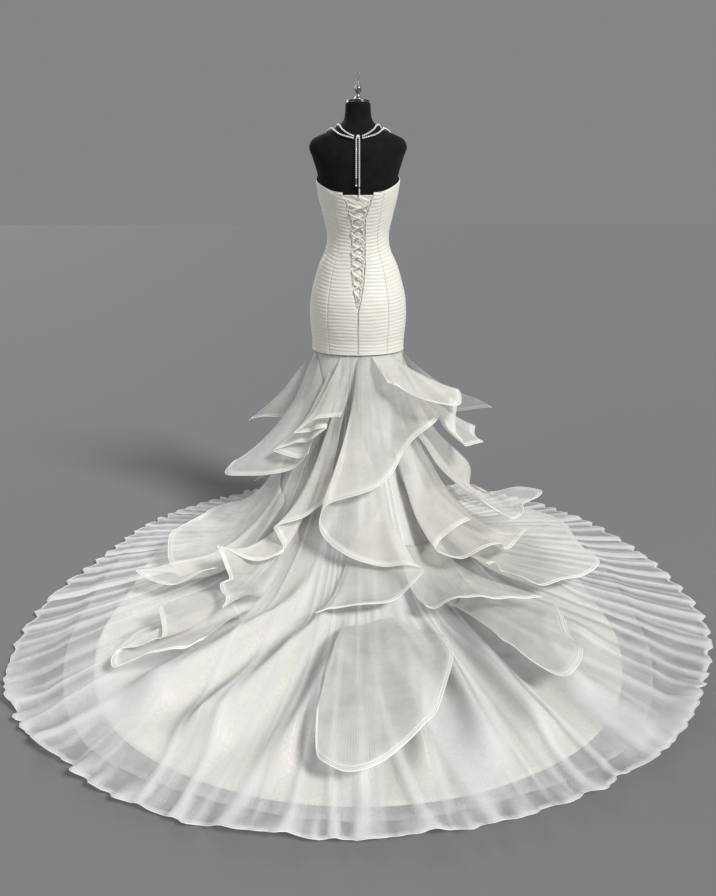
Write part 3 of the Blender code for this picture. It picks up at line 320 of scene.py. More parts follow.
def skirt_away(azimuth, fall):
    """Direction in which the skirt is moved out: level at the waist, its normal below LEVEL_FALL."""
    step = 1e-3
    inside = np.maximum(fall, step)
    along = skirt(np.add(azimuth, 0.2), inside) - skirt(np.subtract(azimuth, 0.2), inside)
    down = skirt(azimuth, inside + step) - skirt(azimuth, inside - step)
    normal = unit(np.cross(down, along))
    normal[..., 2] *= np.clip(np.asarray(fall) / LEVEL_FALL, 0, 1)
    return normal


def skirt_out(azimuth, fall, distance):
    return skirt(azimuth, fall) + skirt_away(azimuth, fall) * np.asarray(distance)[..., None]


def grid_faces(columns, rows, wrapped):
    """Quads of a grid whose columns run round and whose rows run down, facing the cross product down x round."""
    near = np.arange(columns if wrapped else columns - 1)
    far = (near + 1) % columns
    row = np.arange(rows - 1)
    first, second = near[:, None] * rows + row, far[:, None] * rows + row
    return np.stack([first, first + 1, second + 1, second], -1).reshape(-1, 4)


def rim_faces(columns, rows, wrapped, count):
    """Quads that close a wall of two such grids, the inner one's points numbered count higher."""
    near = np.arange(columns if wrapped else columns - 1)
    far = (near + 1) % columns
    row = np.arange(rows - 1)
    rims = []
    for line, turn in ((0, 1), (rows - 1, -1)):
        one, two = near * rows + line, far * rows + line
        rims.append(np.stack([one, two, two + count, one + count], -1)[:, ::turn])
    if not wrapped:
        for column, turn in ((0, -1), (columns - 1, 1)):
            one = column * rows + row
            rims.append(np.stack([one, one + 1, one + 1 + count, one + count], -1)[:, ::turn])
    return np.concatenate(rims)


def cloth_metres(grid, wrapped):
    """UV in metres: the mean distance along the grid's columns, and down its rows."""
    ring = np.concatenate([grid, grid[:1]]) if wrapped else grid
    round_it = np.linalg.norm(np.diff(ring, axis=0), axis=-1).mean(1)
    down = np.linalg.norm(np.diff(ring, axis=1), axis=-1).mean(0)
    return np.stack(np.meshgrid(np.append(0, np.cumsum(round_it)), np.append(0, np.cumsum(down)),
                                indexing="ij"), -1)


def add_piece(name, points, faces, finish, slot, corners_uv=None, **attributes):
    """Mesh object from arrays, smooth, riding on the one body."""
    mesh = bpy.data.meshes.new(name)
    mesh.from_pydata(points.reshape(-1, 3), [], faces)
    mesh.polygons.foreach_set("use_smooth", np.ones(len(mesh.polygons), bool))
    if corners_uv is not None:
        mesh.uv_layers.new(name="cloth").data.foreach_set("uv", corners_uv.astype(np.float32).ravel())
    for title, values in attributes.items():
        mesh.attributes.new(title, "FLOAT", "POINT").data.foreach_set("value", values.astype(np.float32).ravel())
    mesh.update()
    made = bpy.data.objects.new(name, mesh)
    made.data.materials.append(finish)
    bpy.context.scene.collection.objects.link(made)
    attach(made, "root")
    return made


def add_wall(name, outer, inner, finish, slot, wrapped=False, **attributes):
    """Closed wall between an outer and an inner grid of points."""
    columns, rows = outer.shape[:2]
    count = columns * rows
    faces = grid_faces(columns, rows, wrapped)
    rims = rim_faces(columns, rows, wrapped, count)
    faces = np.concatenate([faces, faces[:, ::-1] + count, rims])
    uv = cloth_metres(outer, wrapped)
    uv_columns, uv_count = uv.shape[0], uv.shape[0] * rows
    uv_faces = grid_faces(uv_columns, rows, False)
    uv_rims = rim_faces(uv_columns, rows, False, 0)[:len(rims)]
    corners = np.concatenate([uv_faces, uv_faces[:, ::-1], uv_rims]).ravel()
    points = np.concatenate([outer.reshape(-1, 3), inner.reshape(-1, 3)])
    doubled = {title: np.concatenate([values.ravel(), values.ravel()]) for title, values in attributes.items()}
    return add_piece(name, points, faces.tolist(), finish, slot, uv.reshape(-1, 2)[corners], **doubled)


def tube_points(path, radius, side, sides=8):
    """Circle carried along a path: radius * (cos a * side + sin a * across), across square to path and side."""
    tangent = unit(np.gradient(path, axis=0))
    side = unit(side - (side * tangent).sum(-1, keepdims=True) * tangent)
    across = np.cross(tangent, side)
    angle = -np.linspace(0, 2 * np.pi, sides, endpoint=False)[:, None, None]
    radius = np.broadcast_to(np.asarray(radius, float), (len(path),))[None, :, None]
    return path[None] + radius * (np.cos(angle) * side[None] + np.sin(angle) * across[None])


def tube_faces(sides, rows, start=0):
    """Quads of a tube and its two end caps."""
    quads = (grid_faces(sides, rows, True) + start).tolist()
    first = (np.arange(sides) * rows + start).tolist()
    last = (np.arange(sides)[::-1] * rows + rows - 1 + start).tolist()
    return quads + [first, last]


def add_tubes(name, paths, finish, slot):
    """One piece of several tubes; each is (path, radius, side)."""
    points, faces = [], []
    for path, radius, side in paths:
        grid = tube_points(path, radius, side)
        start = sum(len(part) for part in points)
        faces += tube_faces(grid.shape[0], grid.shape[1], start)
        points.append(grid.reshape(-1, 3))
    return add_piece(name, np.concatenate(points), faces, finish, slot)


def add_lathe(name, profile, finish, slot, tilt=0.0, sides=48):
    """Profile of radius and height, turned round +Z; heights rise by tilt times the distance towards -Y."""
    profile = np.array(profile)[::-1]
    angle = np.linspace(0, 2 * np.pi, sides, endpoint=False)[:, None]
    radius, height = profile[None, 1:-1, 0], profile[None, 1:-1, 1]
    x, y = radius * np.sin(angle), -radius * np.cos(angle)
    ring = np.stack([x, y, height - tilt * y], -1)
    rows = ring.shape[1]
    poles = np.array([[0, 0, profile[0, 1]], [0, 0, profile[-1, 1]]])
    points = np.concatenate([ring.reshape(-1, 3), poles])
    count = sides * rows
    near, far = np.arange(sides), (np.arange(sides) + 1) % sides
    top = np.stack([np.full(sides, count), near * rows, far * rows], -1)
    bottom = np.stack([np.full(sides, count + 1), far * rows + rows - 1, near * rows + rows - 1], -1)
    faces = grid_faces(sides, rows, True).tolist() + top.tolist() + bottom.tolist()
    return add_piece(name, points, faces, finish, slot)


def soften(grid, rounds, wrapped=False):
    """Each point becomes a quarter of its two neighbours and half itself, along both directions, in rounds."""
    for _ in range(rounds):
        if wrapped:
            grid = 0.5 * grid + 0.25 * (np.roll(grid, 1, 0) + np.roll(grid, -1, 0))
        else:
            grid[1:-1] = 0.5 * grid[1:-1] + 0.25 * (grid[2:] + grid[:-2])
        grid[:, 1:-1] = 0.5 * grid[:, 1:-1] + 0.25 * (grid[:, 2:] + grid[:, :-2])
    return grid


def grid_normals(grid, wrapped=False):
    """Unit cross product of the grid's downward and round directions."""
    if wrapped:
        round_it = np.roll(grid, -1, 0) - np.roll(grid, 1, 0)
    else:
        round_it = np.gradient(grid, axis=0)
    return unit(np.cross(np.gradient(grid, axis=1), round_it))


class Nodes:
    """Short way to lay out a material's nodes."""

    def __init__(self, name, colour, roughness, **sockets):
        self.material = bpy.data.materials.new(name)
        self.material.use_nodes = True
        self.tree = self.material.node_tree
        self.shader = self.tree.nodes["Principled BSDF"]
        self.set(self.shader, **{"Base Color": (*colour, 1.0), "Roughness": roughness})
        self.set(self.shader, **{title.replace("_", " "): value for title, value in sockets.items()})

    def set(self, node, **values):
        for title, value in values.items():
            node.inputs[title].default_value = value

    def add(self, kind, links=(), **values):
        node = self.tree.nodes.new(kind)
        for title, value in values.items():
            if title in ("operation", "attribute_name", "wave_type", "bands_direction", "feature", "data_type",
                         "blend_type", "noise_type", "wave_profile"):
                setattr(node, title, value)
            else:
                node.inputs[title].default_value = value
        for socket, source in dict(links).items():
            self.tree.links.new(source, node.inputs[socket])
        return node

    def join(self, source, socket):
        self.tree.links.new(source, self.shader.inputs[socket])

    def ramp(self, source, low, high, out_low, out_high):
        node = self.tree.nodes.new("ShaderNodeMapRange")
        self.tree.links.new(source, node.inputs["Value"])
        for title, value in (("From Min", low), ("From Max", high), ("To Min", out_low), ("To Max", out_high)):
            node.inputs[title].default_value = value
        return node.outputs["Result"]

    def blend(self, factor, first, second):
        """Colour between two colours."""
        node = self.tree.nodes.new("ShaderNodeMix")
        node.data_type = "RGBA"
        self.tree.links.new(factor, node.inputs["Factor"])
        node.inputs[6].default_value = (*first, 1.0)
        node.inputs[7].default_value = (*second, 1.0)
        return node.outputs[2]

    def place(self):
        return self.add("ShaderNodeTexCoord").outputs["Object"]

    def cloth(self):
        return self.add("ShaderNodeUVMap").outputs["UV"]

    def noise(self, place, scale, detail=3.0, roughness=0.5):
        return self.add("ShaderNodeTexNoise", {"Vector": place}, Scale=scale, Detail=detail,
                        Roughness=roughness).outputs["Fac"]

    def bump(self, height, strength, distance):
        node = self.add("ShaderNodeBump", {"Height": height}, Strength=strength, Distance=distance)
        self.join(node.outputs["Normal"], "Normal")

    def maths(self, operation, first, second):
        node = self.tree.nodes.new("ShaderNodeMath")
        node.operation = operation
        for slot, value in enumerate((first, second)):
            if isinstance(value, (int, float)):
                node.inputs[slot].default_value = value
            else:
                self.tree.links.new(value, node.inputs[slot])
        return node.outputs[0]

    def weave(self, threads):
        """Crossed threads, this many a metre, as the larger of two sets of waves on the cloth's own UV."""
        across = self.add("ShaderNodeTexWave", {"Vector": self.cloth()}, bands_direction="X", Scale=threads / 20)
        down = self.add("ShaderNodeTexWave", {"Vector": self.cloth()}, bands_direction="Y", Scale=threads / 20)
        return self.maths("MAXIMUM", across.outputs["Fac"], down.outputs["Fac"])


def satin_finish(name, light, shade, roughness, threads):
    """Close satin: ivory that drifts a little, fine threads, soft sheen."""
    nodes = Nodes(name, light, roughness, Sheen_Weight=0.25, Sheen_Roughness=0.4, Specular_IOR_Level=0.45)
    drift = nodes.noise(nodes.place(), 9.0, 4.0)
    nodes.join(nodes.blend(nodes.ramp(drift, 0.35, 0.65, 0, 1), shade, light), "Base Color")
    nodes.join(nodes.ramp(nodes.noise(nodes.place(), 40.0), 0.3, 0.7, roughness - 0.05, roughness + 0.08),
               "Roughness")
    nodes.bump(nodes.weave(threads), 0.10, 0.0002)
    return nodes.material


def net_finish(name, tint, alpha, gathered):
    """Net: see-through threads, denser where the gather attribute says that it is folded on itself."""
    nodes = Nodes(name, tint, 0.6, Sheen_Weight=0.3, Sheen_Roughness=0.5, Specular_IOR_Level=0.3)
    gather = nodes.add("ShaderNodeAttribute", attribute_name="gather").outputs["Fac"]
    drift = nodes.ramp(nodes.noise(nodes.place(), 14.0, 5.0, 0.6), 0.3, 0.7, -0.05, 0.05)
    mesh = nodes.add("ShaderNodeTexVoronoi", {"Vector": nodes.cloth()}, feature="DISTANCE_TO_EDGE", Scale=700.0)
    holes = nodes.ramp(mesh.outputs["Distance"], 0.05, 0.20, 0.12, -0.04)
    dense = nodes.maths("ADD", nodes.maths("MULTIPLY", gather, gathered), nodes.maths("ADD", drift, holes))
    nodes.join(nodes.maths("ADD", dense, alpha), "Alpha")
    return nodes.material


def organza_finish(name, tint, alpha, hemmed):
    """Organza: crisp sheer cloth, denser in the doubled band along its hem, which the hem attribute marks."""
    nodes = Nodes(name, tint, 0.42, Sheen_Weight=0.35, Sheen_Roughness=0.35, Specular_IOR_Level=0.5)
    hem = nodes.add("ShaderNodeAttribute", attribute_name="hem").outputs["Fac"]
    drift = nodes.ramp(nodes.noise(nodes.place(), 11.0, 5.0, 0.55), 0.3, 0.7, -0.05, 0.06)
    threads = nodes.weave(1500)
    woven = nodes.ramp(threads, 0.0, 1.0, -0.05, 0.05)
    dense = nodes.maths("ADD", nodes.maths("MULTIPLY", hem, hemmed), nodes.maths("ADD", drift, woven))
    nodes.join(nodes.maths("ADD", dense, alpha), "Alpha")
    nodes.bump(threads, 0.08, 0.0002)
    return nodes.material


def make_finishes():
    finishes = {
        "ruched_satin": satin_finish("ruched_satin", (0.89, 0.865, 0.79), (0.86, 0.83, 0.745), 0.42, 1400),
        "skirt_satin": satin_finish("skirt_satin", (0.95, 0.905, 0.80), (0.92, 0.865, 0.75), 0.34, 1600),
        "lacing_satin": satin_finish("lacing_satin", (0.86, 0.84, 0.78), (0.80, 0.78, 0.71), 0.32, 1400),
        "piping_satin": satin_finish("piping_satin", (0.97, 0.97, 0.95), (0.95, 0.95, 0.92), 0.34, 1400),
        "net_over": net_finish("net_over", (0.93, 0.935, 0.93), 0.085, 0.42),
        "net_under": net_finish("net_under", (0.93, 0.93, 0.91), 0.09, 0.24),
        "organza": organza_finish("organza", (0.97, 0.945, 0.885), 0.26, 0.26),
    }
    pearl = Nodes("pearl", (0.90, 0.89, 0.85), 0.16, Coat_Weight=0.6, Coat_Roughness=0.08, Specular_IOR_Level=0.6)
    lustre = nodes_drift(pearl, 160.0)
    pearl.join(pearl.blend(lustre, (0.93, 0.91, 0.87), (0.86, 0.87, 0.88)), "Base Color")
    finishes["pearl"] = pearl.material
    jersey = Nodes("form_jersey", (0.006, 0.006, 0.007), 0.85, Sheen_Weight=0.03, Sheen_Roughness=0.6,
                   Specular_IOR_Level=0.12)
    jersey.join(jersey.blend(nodes_drift(jersey, 30.0), (0.005, 0.005, 0.006), (0.009, 0.009, 0.010)),
                "Base Color")
    jersey.bump(jersey.noise(jersey.place(), 900.0, 2.0), 0.25, 0.0004)
    finishes["form_jersey"] = jersey.material
    lacquer = Nodes("cap_lacquer", (0.012, 0.012, 0.013), 0.22, Specular_IOR_Level=0.5, Coat_Weight=0.3)
    lacquer.join(lacquer.ramp(lacquer.noise(lacquer.place(), 90.0), 0.3, 0.7, 0.18, 0.30), "Roughness")
    finishes["cap_lacquer"] = lacquer.material
    # Painted reflection: this steel's colour is painted darker than bare steel. It stands in for the dark room that
    # the polished finial, hook, cap rim and pole reflect.
    steel = Nodes("steel_painted_dark", (0.36, 0.37, 0.39), 0.16, Metallic=1.0)
    steel.join(steel.ramp(steel.noise(steel.place(), 120.0), 0.3, 0.7, 0.12, 0.26), "Roughness")
    finishes["steel_painted_dark"] = steel.material
    return finishes


def nodes_drift(nodes, scale):
    return nodes.ramp(nodes.noise(nodes.place(), scale), 0.35, 0.65, 0, 1)


def add_form(finishes):
    """Torso and neck as one closed skin, level neck cap in a steel rim, turned finial and hook."""
    azimuth = np.linspace(0, 360, 96, endpoint=False)[:, None]
    height = np.linspace(TORSO[-1].height, TORSO[0].height, 180)[None, :]
    skin = torso(height, azimuth)
    rows = skin.shape[1]
    faces = grid_faces(96, rows, True).tolist()
    top = (np.arange(96) * rows).tolist()
    bottom = (np.arange(96)[::-1] * rows + rows - 1).tolist()
    body = add_piece("form_torso", skin, faces + [top, bottom], finishes["form_jersey"], "form_black")
    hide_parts("form_body")
    base = 1.5886
    cap = add_lathe("form_cap", [(0.0, base), (0.0385, base), (0.0400, base + 0.0015), (0.0400, base + 0.0022),
                                 (0.0388, base + 0.0030), (0.0388, base + 0.0082), (0.0375, base + 0.0095),
                                 (0.0350, base + 0.0098), (0.0, base + 0.0098)], finishes["cap_lacquer"], "steel")
    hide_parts("form_neck_cap")
    turn = np.linspace(0, 2 * np.pi, 73)
    rim = np.stack([0.0392 * np.sin(turn), -0.0392 * np.cos(turn), 0 * turn + base + 0.0026], -1)
    add_tubes("cap_rim", [(rim, 0.0008, np.tile([0.0, 0.0, 1.0], (73, 1)))], finishes["steel_painted_dark"], "steel")
    start = 1.5989
    profile = [(0.0, 0.000), (0.0155, 0.000), (0.0162, 0.0010), (0.0160, 0.0035), (0.0120, 0.0060),
               (0.0085, 0.0095), (0.0068, 0.0140), (0.0062, 0.0190), (0.0078, 0.0225), (0.0104, 0.0262),
               (0.0120, 0.0310), (0.0121, 0.0350), (0.0104, 0.0395), (0.0075, 0.0425), (0.0060, 0.0445),
               (0.0062, 0.0475), (0.0058, 0.0520), (0.0046, 0.0565), (0.0, 0.058)]
    finial = add_lathe("finial_knob", [(radius, start + up) for radius, up in profile],
                       finishes["steel_painted_dark"], "steel")
    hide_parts("form_finial")
    turn = np.linspace(-0.5 * np.pi, 1.1 * np.pi, 28)
    ring = np.stack([0.0050 * np.cos(turn), np.zeros(28), 1.6740 + 0.0050 * np.sin(turn)], -1)
    stem = np.array([[0, 0, 1.6572], [0, 0, 1.6630], [0.0, 0, 1.6670]])
    path = np.concatenate([stem, ring])
    hook = add_tubes("finial_hook", [(path, 0.0011, np.tile([0.0, 1.0, 0.0], (len(path), 1)))],
                     finishes["steel_painted_dark"], "steel")
    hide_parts("form_hook")
    for node, finish in (("form_pole", "steel_painted_dark"), ("form_base", "form_jersey")):
        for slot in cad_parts[node].material_slots:
            slot.material = finishes[finish]


def tuck_height(part, azimuth):
    """Rounded tucks with narrow valleys: |sin| to a low power of a phase that wanders, sags towards the lacing
    in the upper half, and whose depth is uneven."""
    side = np.abs((azimuth + 180) % 360 - 180)
    wander = 0.22 * uneven(azimuth / 24.0, part * 9.0, 0.4) + 0.07 * uneven(azimuth / 7.0, part * 37.0, 2.0)
    sag = 1.1 * ease(0.45, 1.0, part) * np.cos(np.radians(np.clip(side * 2.0, 0, 180)))
    phase = TUCK_COUNT * part + wander + sag
    depth = 0.80 + 0.20 * uneven(azimuth / 9.0, part * 31.0, 1.0)
    return TUCK_DEPTH * depth * np.abs(np.sin(np.pi * phase)) ** 0.55


def add_bodice_panel(name, node, start, end, finishes, lacing_side=0):
    """Wall whose outside carries the tucks; part runs from 1 at the neckline to 0 at the dropped waist."""
    columns = max(22, int(abs(end - start) * 0.62))
    rows = TUCK_COUNT * 6 + 1
    across = np.linspace(0, 1, columns + 1)[:, None]
    if lacing_side < 0 or (lacing_side == 0 and end < start):
        across = across[::-1]
    part = np.linspace(1, 0, rows)[None, :]
    height = DROP_WAIST + (neckline(start + (end - start) * across) - DROP_WAIST) * part
    trim = np.sign(end - start) * np.degrees(SEAM_GAP / 2 / SEAM_RADIUS)
    first, last = start + trim, end - trim
    if lacing_side:
        first = lacing_side * torso_azimuth(height, lacing_half(height))
    azimuth = first + (last - first) * across
    edge = np.minimum(across * abs(end - start), (1 - across) * abs(end - start))
    calm = (0.80 + 0.20 * ease(0.0, 0.5, edge)) * ease(0.0, 0.006, part) * ease(0.0, 0.008, 1 - part)
    outer = torso(height, azimuth, BODICE_OUTER + calm * tuck_height(part, azimuth))
    inner = torso(height, azimuth, BODICE_INNER)
    panel = add_wall(name, outer, inner, finishes["ruched_satin"], "bodice_satin")
    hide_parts(node)
    return panel


def add_bodice(finishes):
    for side, sign in (("left", -1), ("right", 1)):
        add_bodice_panel(f"ruched_back_{side}", f"bodice_back_{side}", 0, sign * PRINCESS_BACK, finishes, sign)
        add_bodice_panel(f"ruched_side_{side}", f"bodice_side_{side}", sign * PRINCESS_BACK,
                         sign * PRINCESS_FRONT, finishes)
    add_bodice_panel("ruched_front", "bodice_front", PRINCESS_FRONT, 360 - PRINCESS_FRONT, finishes)

    gap = torso_azimuth(neckline(0), lacing_half(neckline(0)))
    ring = -360 + gap + (360 - 2 * gap) * np.linspace(0, 1, 361)
    edge = torso(neckline(ring) + 0.0006, ring, 0.5 * (BODICE_INNER + BODICE_OUTER))
    away = torso(neckline(ring), ring, 0.01) - torso(neckline(ring), ring)
    bindings = [(edge, 0.0013, away)]
    round_it = np.linspace(0, 360, 181)
    waist = torso(DROP_WAIST + 0.0012, round_it, BODICE_OUTER - 0.0006)
    bindings.append((waist, WAIST_CORD, torso(DROP_WAIST, round_it, 0.01) - torso(DROP_WAIST, round_it)))
    for sign in (-1, 1):
        height = np.linspace(DROP_WAIST + 0.004, 1.304, 160)
        azimuth = sign * torso_azimuth(height, lacing_half(height) + 0.0012)
        line = torso(height, azimuth, BODICE_OUTER + 0.0004)
        bindings.append((line, 0.0012, torso(height, azimuth, 0.01) - torso(height, azimuth)))
    add_tubes("edge_bindings", bindings, finishes["ruched_satin"], "bodice_satin")


def add_strip(name, node, bottom, top, margin, inner, outer, finish, relief):
    """Strip on the form behind the lacing gap, wider than the gap by margin on each side, raised by relief."""
    height = np.linspace(top, bottom, 160)[None, :]
    across = np.linspace(-1, 1, 41)[:, None]
    azimuth = torso_azimuth(height, (lacing_half(height) + margin) * across)
    back = torso(height, azimuth, inner)
    strip = add_wall(name, torso(height, azimuth, outer + relief(height, across)), back, finish, "bodice_satin")
    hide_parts(node)


def add_lacing(finishes):
    """Pleated panel in the gap, zip tape and its coil, cord loops, and two satin laces that cross."""
    add_strip("modesty_pleats", "modesty_panel", 0.898, 1.300, 0.012, 0.0013, 0.0022, finishes["ruched_satin"],
              lambda height, across: 0.0012 + 0.0014 * uneven(height * 210 + across * 5.0, across * 3.0, 0.3))
    add_strip("zip_tape", "zip_placket", 0.7640, 0.8975, 0.008, 0.0013, 0.0024, finishes["lacing_satin"],
              lambda height, across: 0.0001 * np.ones(np.broadcast(height, across).shape))
    turns = np.linspace(0, 1, 900)
    height = 0.768 + 0.124 * turns
    spin = turns * 2 * np.pi * 70
    coil = torso(height, 0.0, 0.0036) + np.stack([0.0006 * np.cos(spin), 0.0004 * np.sin(spin), 0 * spin], -1)
    add_tubes("zip_coil", [(coil, 0.00025, np.tile([0.0, -1.0, 0.0], (len(coil), 1)))], finishes["lacing_satin"],
              "bodice_satin")

    heights = np.linspace(LACING_BOTTOM, LACING_TOP, LOOP_COUNT + 1)
    for side, sign in (("left", -1), ("right", 1)):
        loops = []
        for low, high in zip(heights, heights[1:]):
            turn = np.linspace(0, np.pi, 19)
            z = low + 0.002 + (high - low - 0.004) * (1 - np.cos(turn)) / 2
            half = lacing_half(z) + 0.0004 - 0.0085 * np.sin(turn) ** 0.8
            azimuth = torso_azimuth(z, sign * half)
            loops.append((torso(z, azimuth, 0.0080), 0.0011, torso(z, azimuth, 0.02) - torso(z, azimuth)))
        made = add_tubes(f"cord_loops_{side}", loops, finishes["lacing_satin"], "lacing_cord")
        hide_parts(f"loops_{side}")
    middles = (heights[1:] + heights[:-1]) / 2
    reach = lacing_half(middles) - 0.0050
    for letter, start, out in (("a", 1, 0.0114), ("b", -1, 0.0058)):
        step = np.linspace(0, LOOP_COUNT - 1, 260)
        swing = start * np.cos(np.pi * step)
        swing = np.sign(swing) * np.abs(swing) ** 0.8
        z = np.interp(step, range(LOOP_COUNT), middles)
        width = np.interp(step, range(LOOP_COUNT), reach)
        azimuth = torso_azimuth(z, swing * width)
        path = torso(z + 0.0012 * uneven(step * 3.0, 0.0, start), azimuth, out)
        width = LACE_RADIUS * (1 + 0.22 * uneven(step * 7.0, 0.0, 2.0 + start))
        made = add_tubes(f"satin_lace_{letter}", [(path, width, torso(z, azimuth, 0.02) - torso(z, azimuth))],
                         finishes["lacing_satin"], "lacing_cord")
        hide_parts(f"lace_ribbon_{letter}")


def bead_shape(radius, subdivisions=2):
    """Points and faces of one bead."""
    work = bmesh.new()
    bmesh.ops.create_icosphere(work, subdivisions=subdivisions, radius=radius)
    points = np.array([vertex.co[:] for vertex in work.verts])
    faces = np.array([[vertex.index for vertex in face.verts] for face in work.faces])
    work.free()
    return points, faces


def along_path(path, spacing):
    """Points at even spacing along a path."""
    lengths = np.append(0, np.cumsum(np.linalg.norm(np.diff(path, axis=0), axis=-1)))
    marks = np.linspace(0, lengths[-1], max(2, int(lengths[-1] / spacing) + 1))
    return np.stack([np.interp(marks, lengths, path[:, axis]) for axis in range(3)], -1)


def add_beads(name, node, centres, radii, finishes, thread):
    """A bead at each centre, scaled by its radius, on a thin thread."""
    bead, bead_faces = bead_shape(1.0)
    points = (centres[:, None] + bead[None] * np.asarray(radii)[:, None, None]).reshape(-1, 3)
    faces = (bead_faces[None] + np.arange(len(centres))[:, None, None] * len(bead)).reshape(-1, 3).tolist()
    side = np.tile([0.0, -1.0, 0.3], (len(thread), 1))
    grid = tube_points(thread, 0.0005, side, 6)
    faces += tube_faces(6, len(thread), len(points))
    made = add_piece(name, np.concatenate([points, grid.reshape(-1, 3)]), faces, finishes["pearl"], "pearl")
    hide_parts(node)


def add_pearls(finishes):
    """Double strands from the front neckline over the shoulders to the nape, and two hanging tails."""
    for side, sign in (("left", -1), ("right", 1)):
        for place, rows in (("upper", STRAND_UPPER), ("lower", STRAND_LOWER)):
            steps = np.linspace(0, len(rows) - 1, 240)
            height = smooth_read(range(len(rows)), [row[0] for row in rows], steps)
            azimuth = smooth_read(range(len(rows)), [row[1] for row in rows], steps)
            path = torso_out(height, sign * azimuth, np.full(240, PEARL_OUT))
            centres = along_path(path, 2.02 * PEARL_RADIUS)
            add_beads(f"pearls_{side}_{place}", f"pearl_strand_{side}_{place}", centres,
                      np.full(len(centres), PEARL_RADIUS), finishes, path[::6])
    for side, (across, end) in TAILS.items():
        height = np.linspace(TAIL_TOP, end, 60)
        path = torso_out(height, torso_azimuth(height, across), np.full(60, TAIL_OUT))
        centres = along_path(path, 2.02 * PEARL_RADIUS)
        last = len(centres) - (4 if side == "left" else 1)
        keep = np.r_[0:last, len(centres) - 1]
        gap_at = last - 5 if side == "right" else -1
        keep = np.array([i for i in keep if i != gap_at])
        radii = np.where(keep == len(centres) - 1, 1.12 * PEARL_RADIUS, PEARL_RADIUS * 0.96)
        add_beads(f"pearls_tail_{side}", f"pearl_tail_{side}", centres[keep], radii, finishes, path)
    centre = torso_out(CLASP_HEIGHT, 0.0, CLASP_OUT)
    petals = np.radians(np.arange(6) * 60.0)
    ring = centre + np.stack([0.0042 * np.cos(petals), 0 * petals, 0.0038 * np.sin(petals)], -1)
    centres = np.concatenate([ring, centre[None] + np.array([[0.0, -0.0012, 0.0]])])
    add_beads("nape_clasp", "neck_clasp", centres, [0.0027] * 6 + [0.0034], finishes,
              np.stack([centre - [0.004, 0, 0], centre, centre + [0.004, 0, 0]]))


def ridge_height(azimuth, fall):
    """Sum of the soft folds: each is a bell curve across a line that bends from its top to its end, and it
    grows from nothing at its top and sinks again at its end."""
    total = np.zeros(np.broadcast(azimuth, fall).shape)
    for ridge in RIDGES:
        t = np.clip((fall - ridge.top_fall) / (ridge.end_fall - ridge.top_fall), 0, 1)
        bend = (ridge.bend_fall - ridge.top_fall) / (ridge.end_fall - ridge.top_fall)
        line = smooth_read([0, bend, 1], [ridge.top_azimuth, ridge.bend_azimuth, ridge.end_azimuth], t)
        off = (azimuth - line + 180) % 360 - 180
        width = ridge.width * (0.45 + 0.35 * t)
        lean = off / width
        profile = np.exp(-np.where(lean > 0, lean * 1.5, lean) ** 2)
        total = total + RIDGE_GAIN * ridge.height * profile * ease(0.0, 0.45, t) * (1 - ease(0.72, 1.0, t))
    return total


def gather_lines(azimuth, fall):
    """Fine gathers of the net, fanning out from the waist: thin ridges whose phase drifts."""
    phase = azimuth * 0.17 + 1.3 * uneven(azimuth / 6.5, fall * 0.9, 0.7)
    return np.abs(np.sin(np.pi * phase)) ** 9.0


def even_columns(column, count):
    """Azimuths of this many columns, evenly spaced along the layer's hem: the inverse of its summed radius."""
    fine = np.linspace(0, 360, 3601)
    along = np.append(0, np.cumsum(hem_radius(column, fine[:-1])))
    return np.interp(np.linspace(0, along[-1], count, endpoint=False), along, fine)[:, None]


def layer_falls(column, azimuth, rows, bell_rows):
    """Rows of a layer: bell_rows down the bell, the rest from fall 1 to the layer's hem."""
    hem = 1 + hem_radius(column, azimuth) - hem_radius("bell", azimuth)
    down = np.linspace(0, 1, bell_rows + 1)[None, :] ** 0.9
    floor = np.linspace(0, 1, rows - bell_rows + 1)[None, 1:]
    return np.concatenate([np.broadcast_to(down, (len(azimuth), bell_rows + 1)), 1 + (hem - 1) * floor], 1), hem


def net_pleats(azimuth, to_hem, floor_width):
    """How far the outer net stands off what it lies on, and how dense it is: knife pleats at the sides, each
    rising slowly and dropping fast, soft gathers at the back and front, and a lettuce wave along the hem."""
    side = np.abs((azimuth + 180) % 360 - 180)
    at_side = ease(38, 60, side) * (1 - ease(112, 135, side))
    sign = np.where(((azimuth + 180) % 360 - 180) < 0, -1.0, 1.0)
    turn = azimuth / 3.5 + 0.22 * uneven(azimuth / 9.0, 0.0, 1.7)
    saw = (-sign * turn) % 1.0
    knife = saw * (1 - ease(0.90, 1.0, saw))
    soft_phase = azimuth / 6.2 + 0.9 * uneven(azimuth / 8.0, to_hem * 1.6, 0.2)
    soft = 0.5 + 0.5 * np.sin(2 * np.pi * soft_phase)
    reach = ease(1.05, 0.0, to_hem / np.maximum(floor_width, 0.05))
    wave_phase = azimuth / 4.4 + 0.80 * uneven(azimuth / 5.0, to_hem * 3.0, 3.1)
    wave = np.abs(np.sin(np.pi * wave_phase)) ** 0.9
    notch = np.abs(np.sin(np.pi * (azimuth / 2.3 + 0.6 * uneven(azimuth / 3.0, 0.0, 1.1)))) ** 1.2
    size = 0.62 + 0.38 * uneven(azimuth / 5.0, 0.0, 5.0)
    curl = ease(0.110, 0.0, to_hem)
    edge = ease(0.050, 0.0, to_hem)
    lift = (0.014 * knife * at_side * reach + 0.009 * soft ** 3 * (1 - at_side) * reach
            + (0.034 * wave * size * curl + 0.010 * notch * edge) * (1 - 0.75 * at_side))
    dense = np.clip(at_side * ease(0.62, 0.95, saw) + (1 - at_side) * (0.8 * soft ** 6 + 0.8 * curl * wave ** 4),
                    0, 1)
    swing = ((0.034 * (wave - 0.95) * size + 0.010 * (notch - 1.0)) * (1 - at_side)
             + 0.016 * (saw - 0.9) * at_side) * curl
    return lift, dense, swing


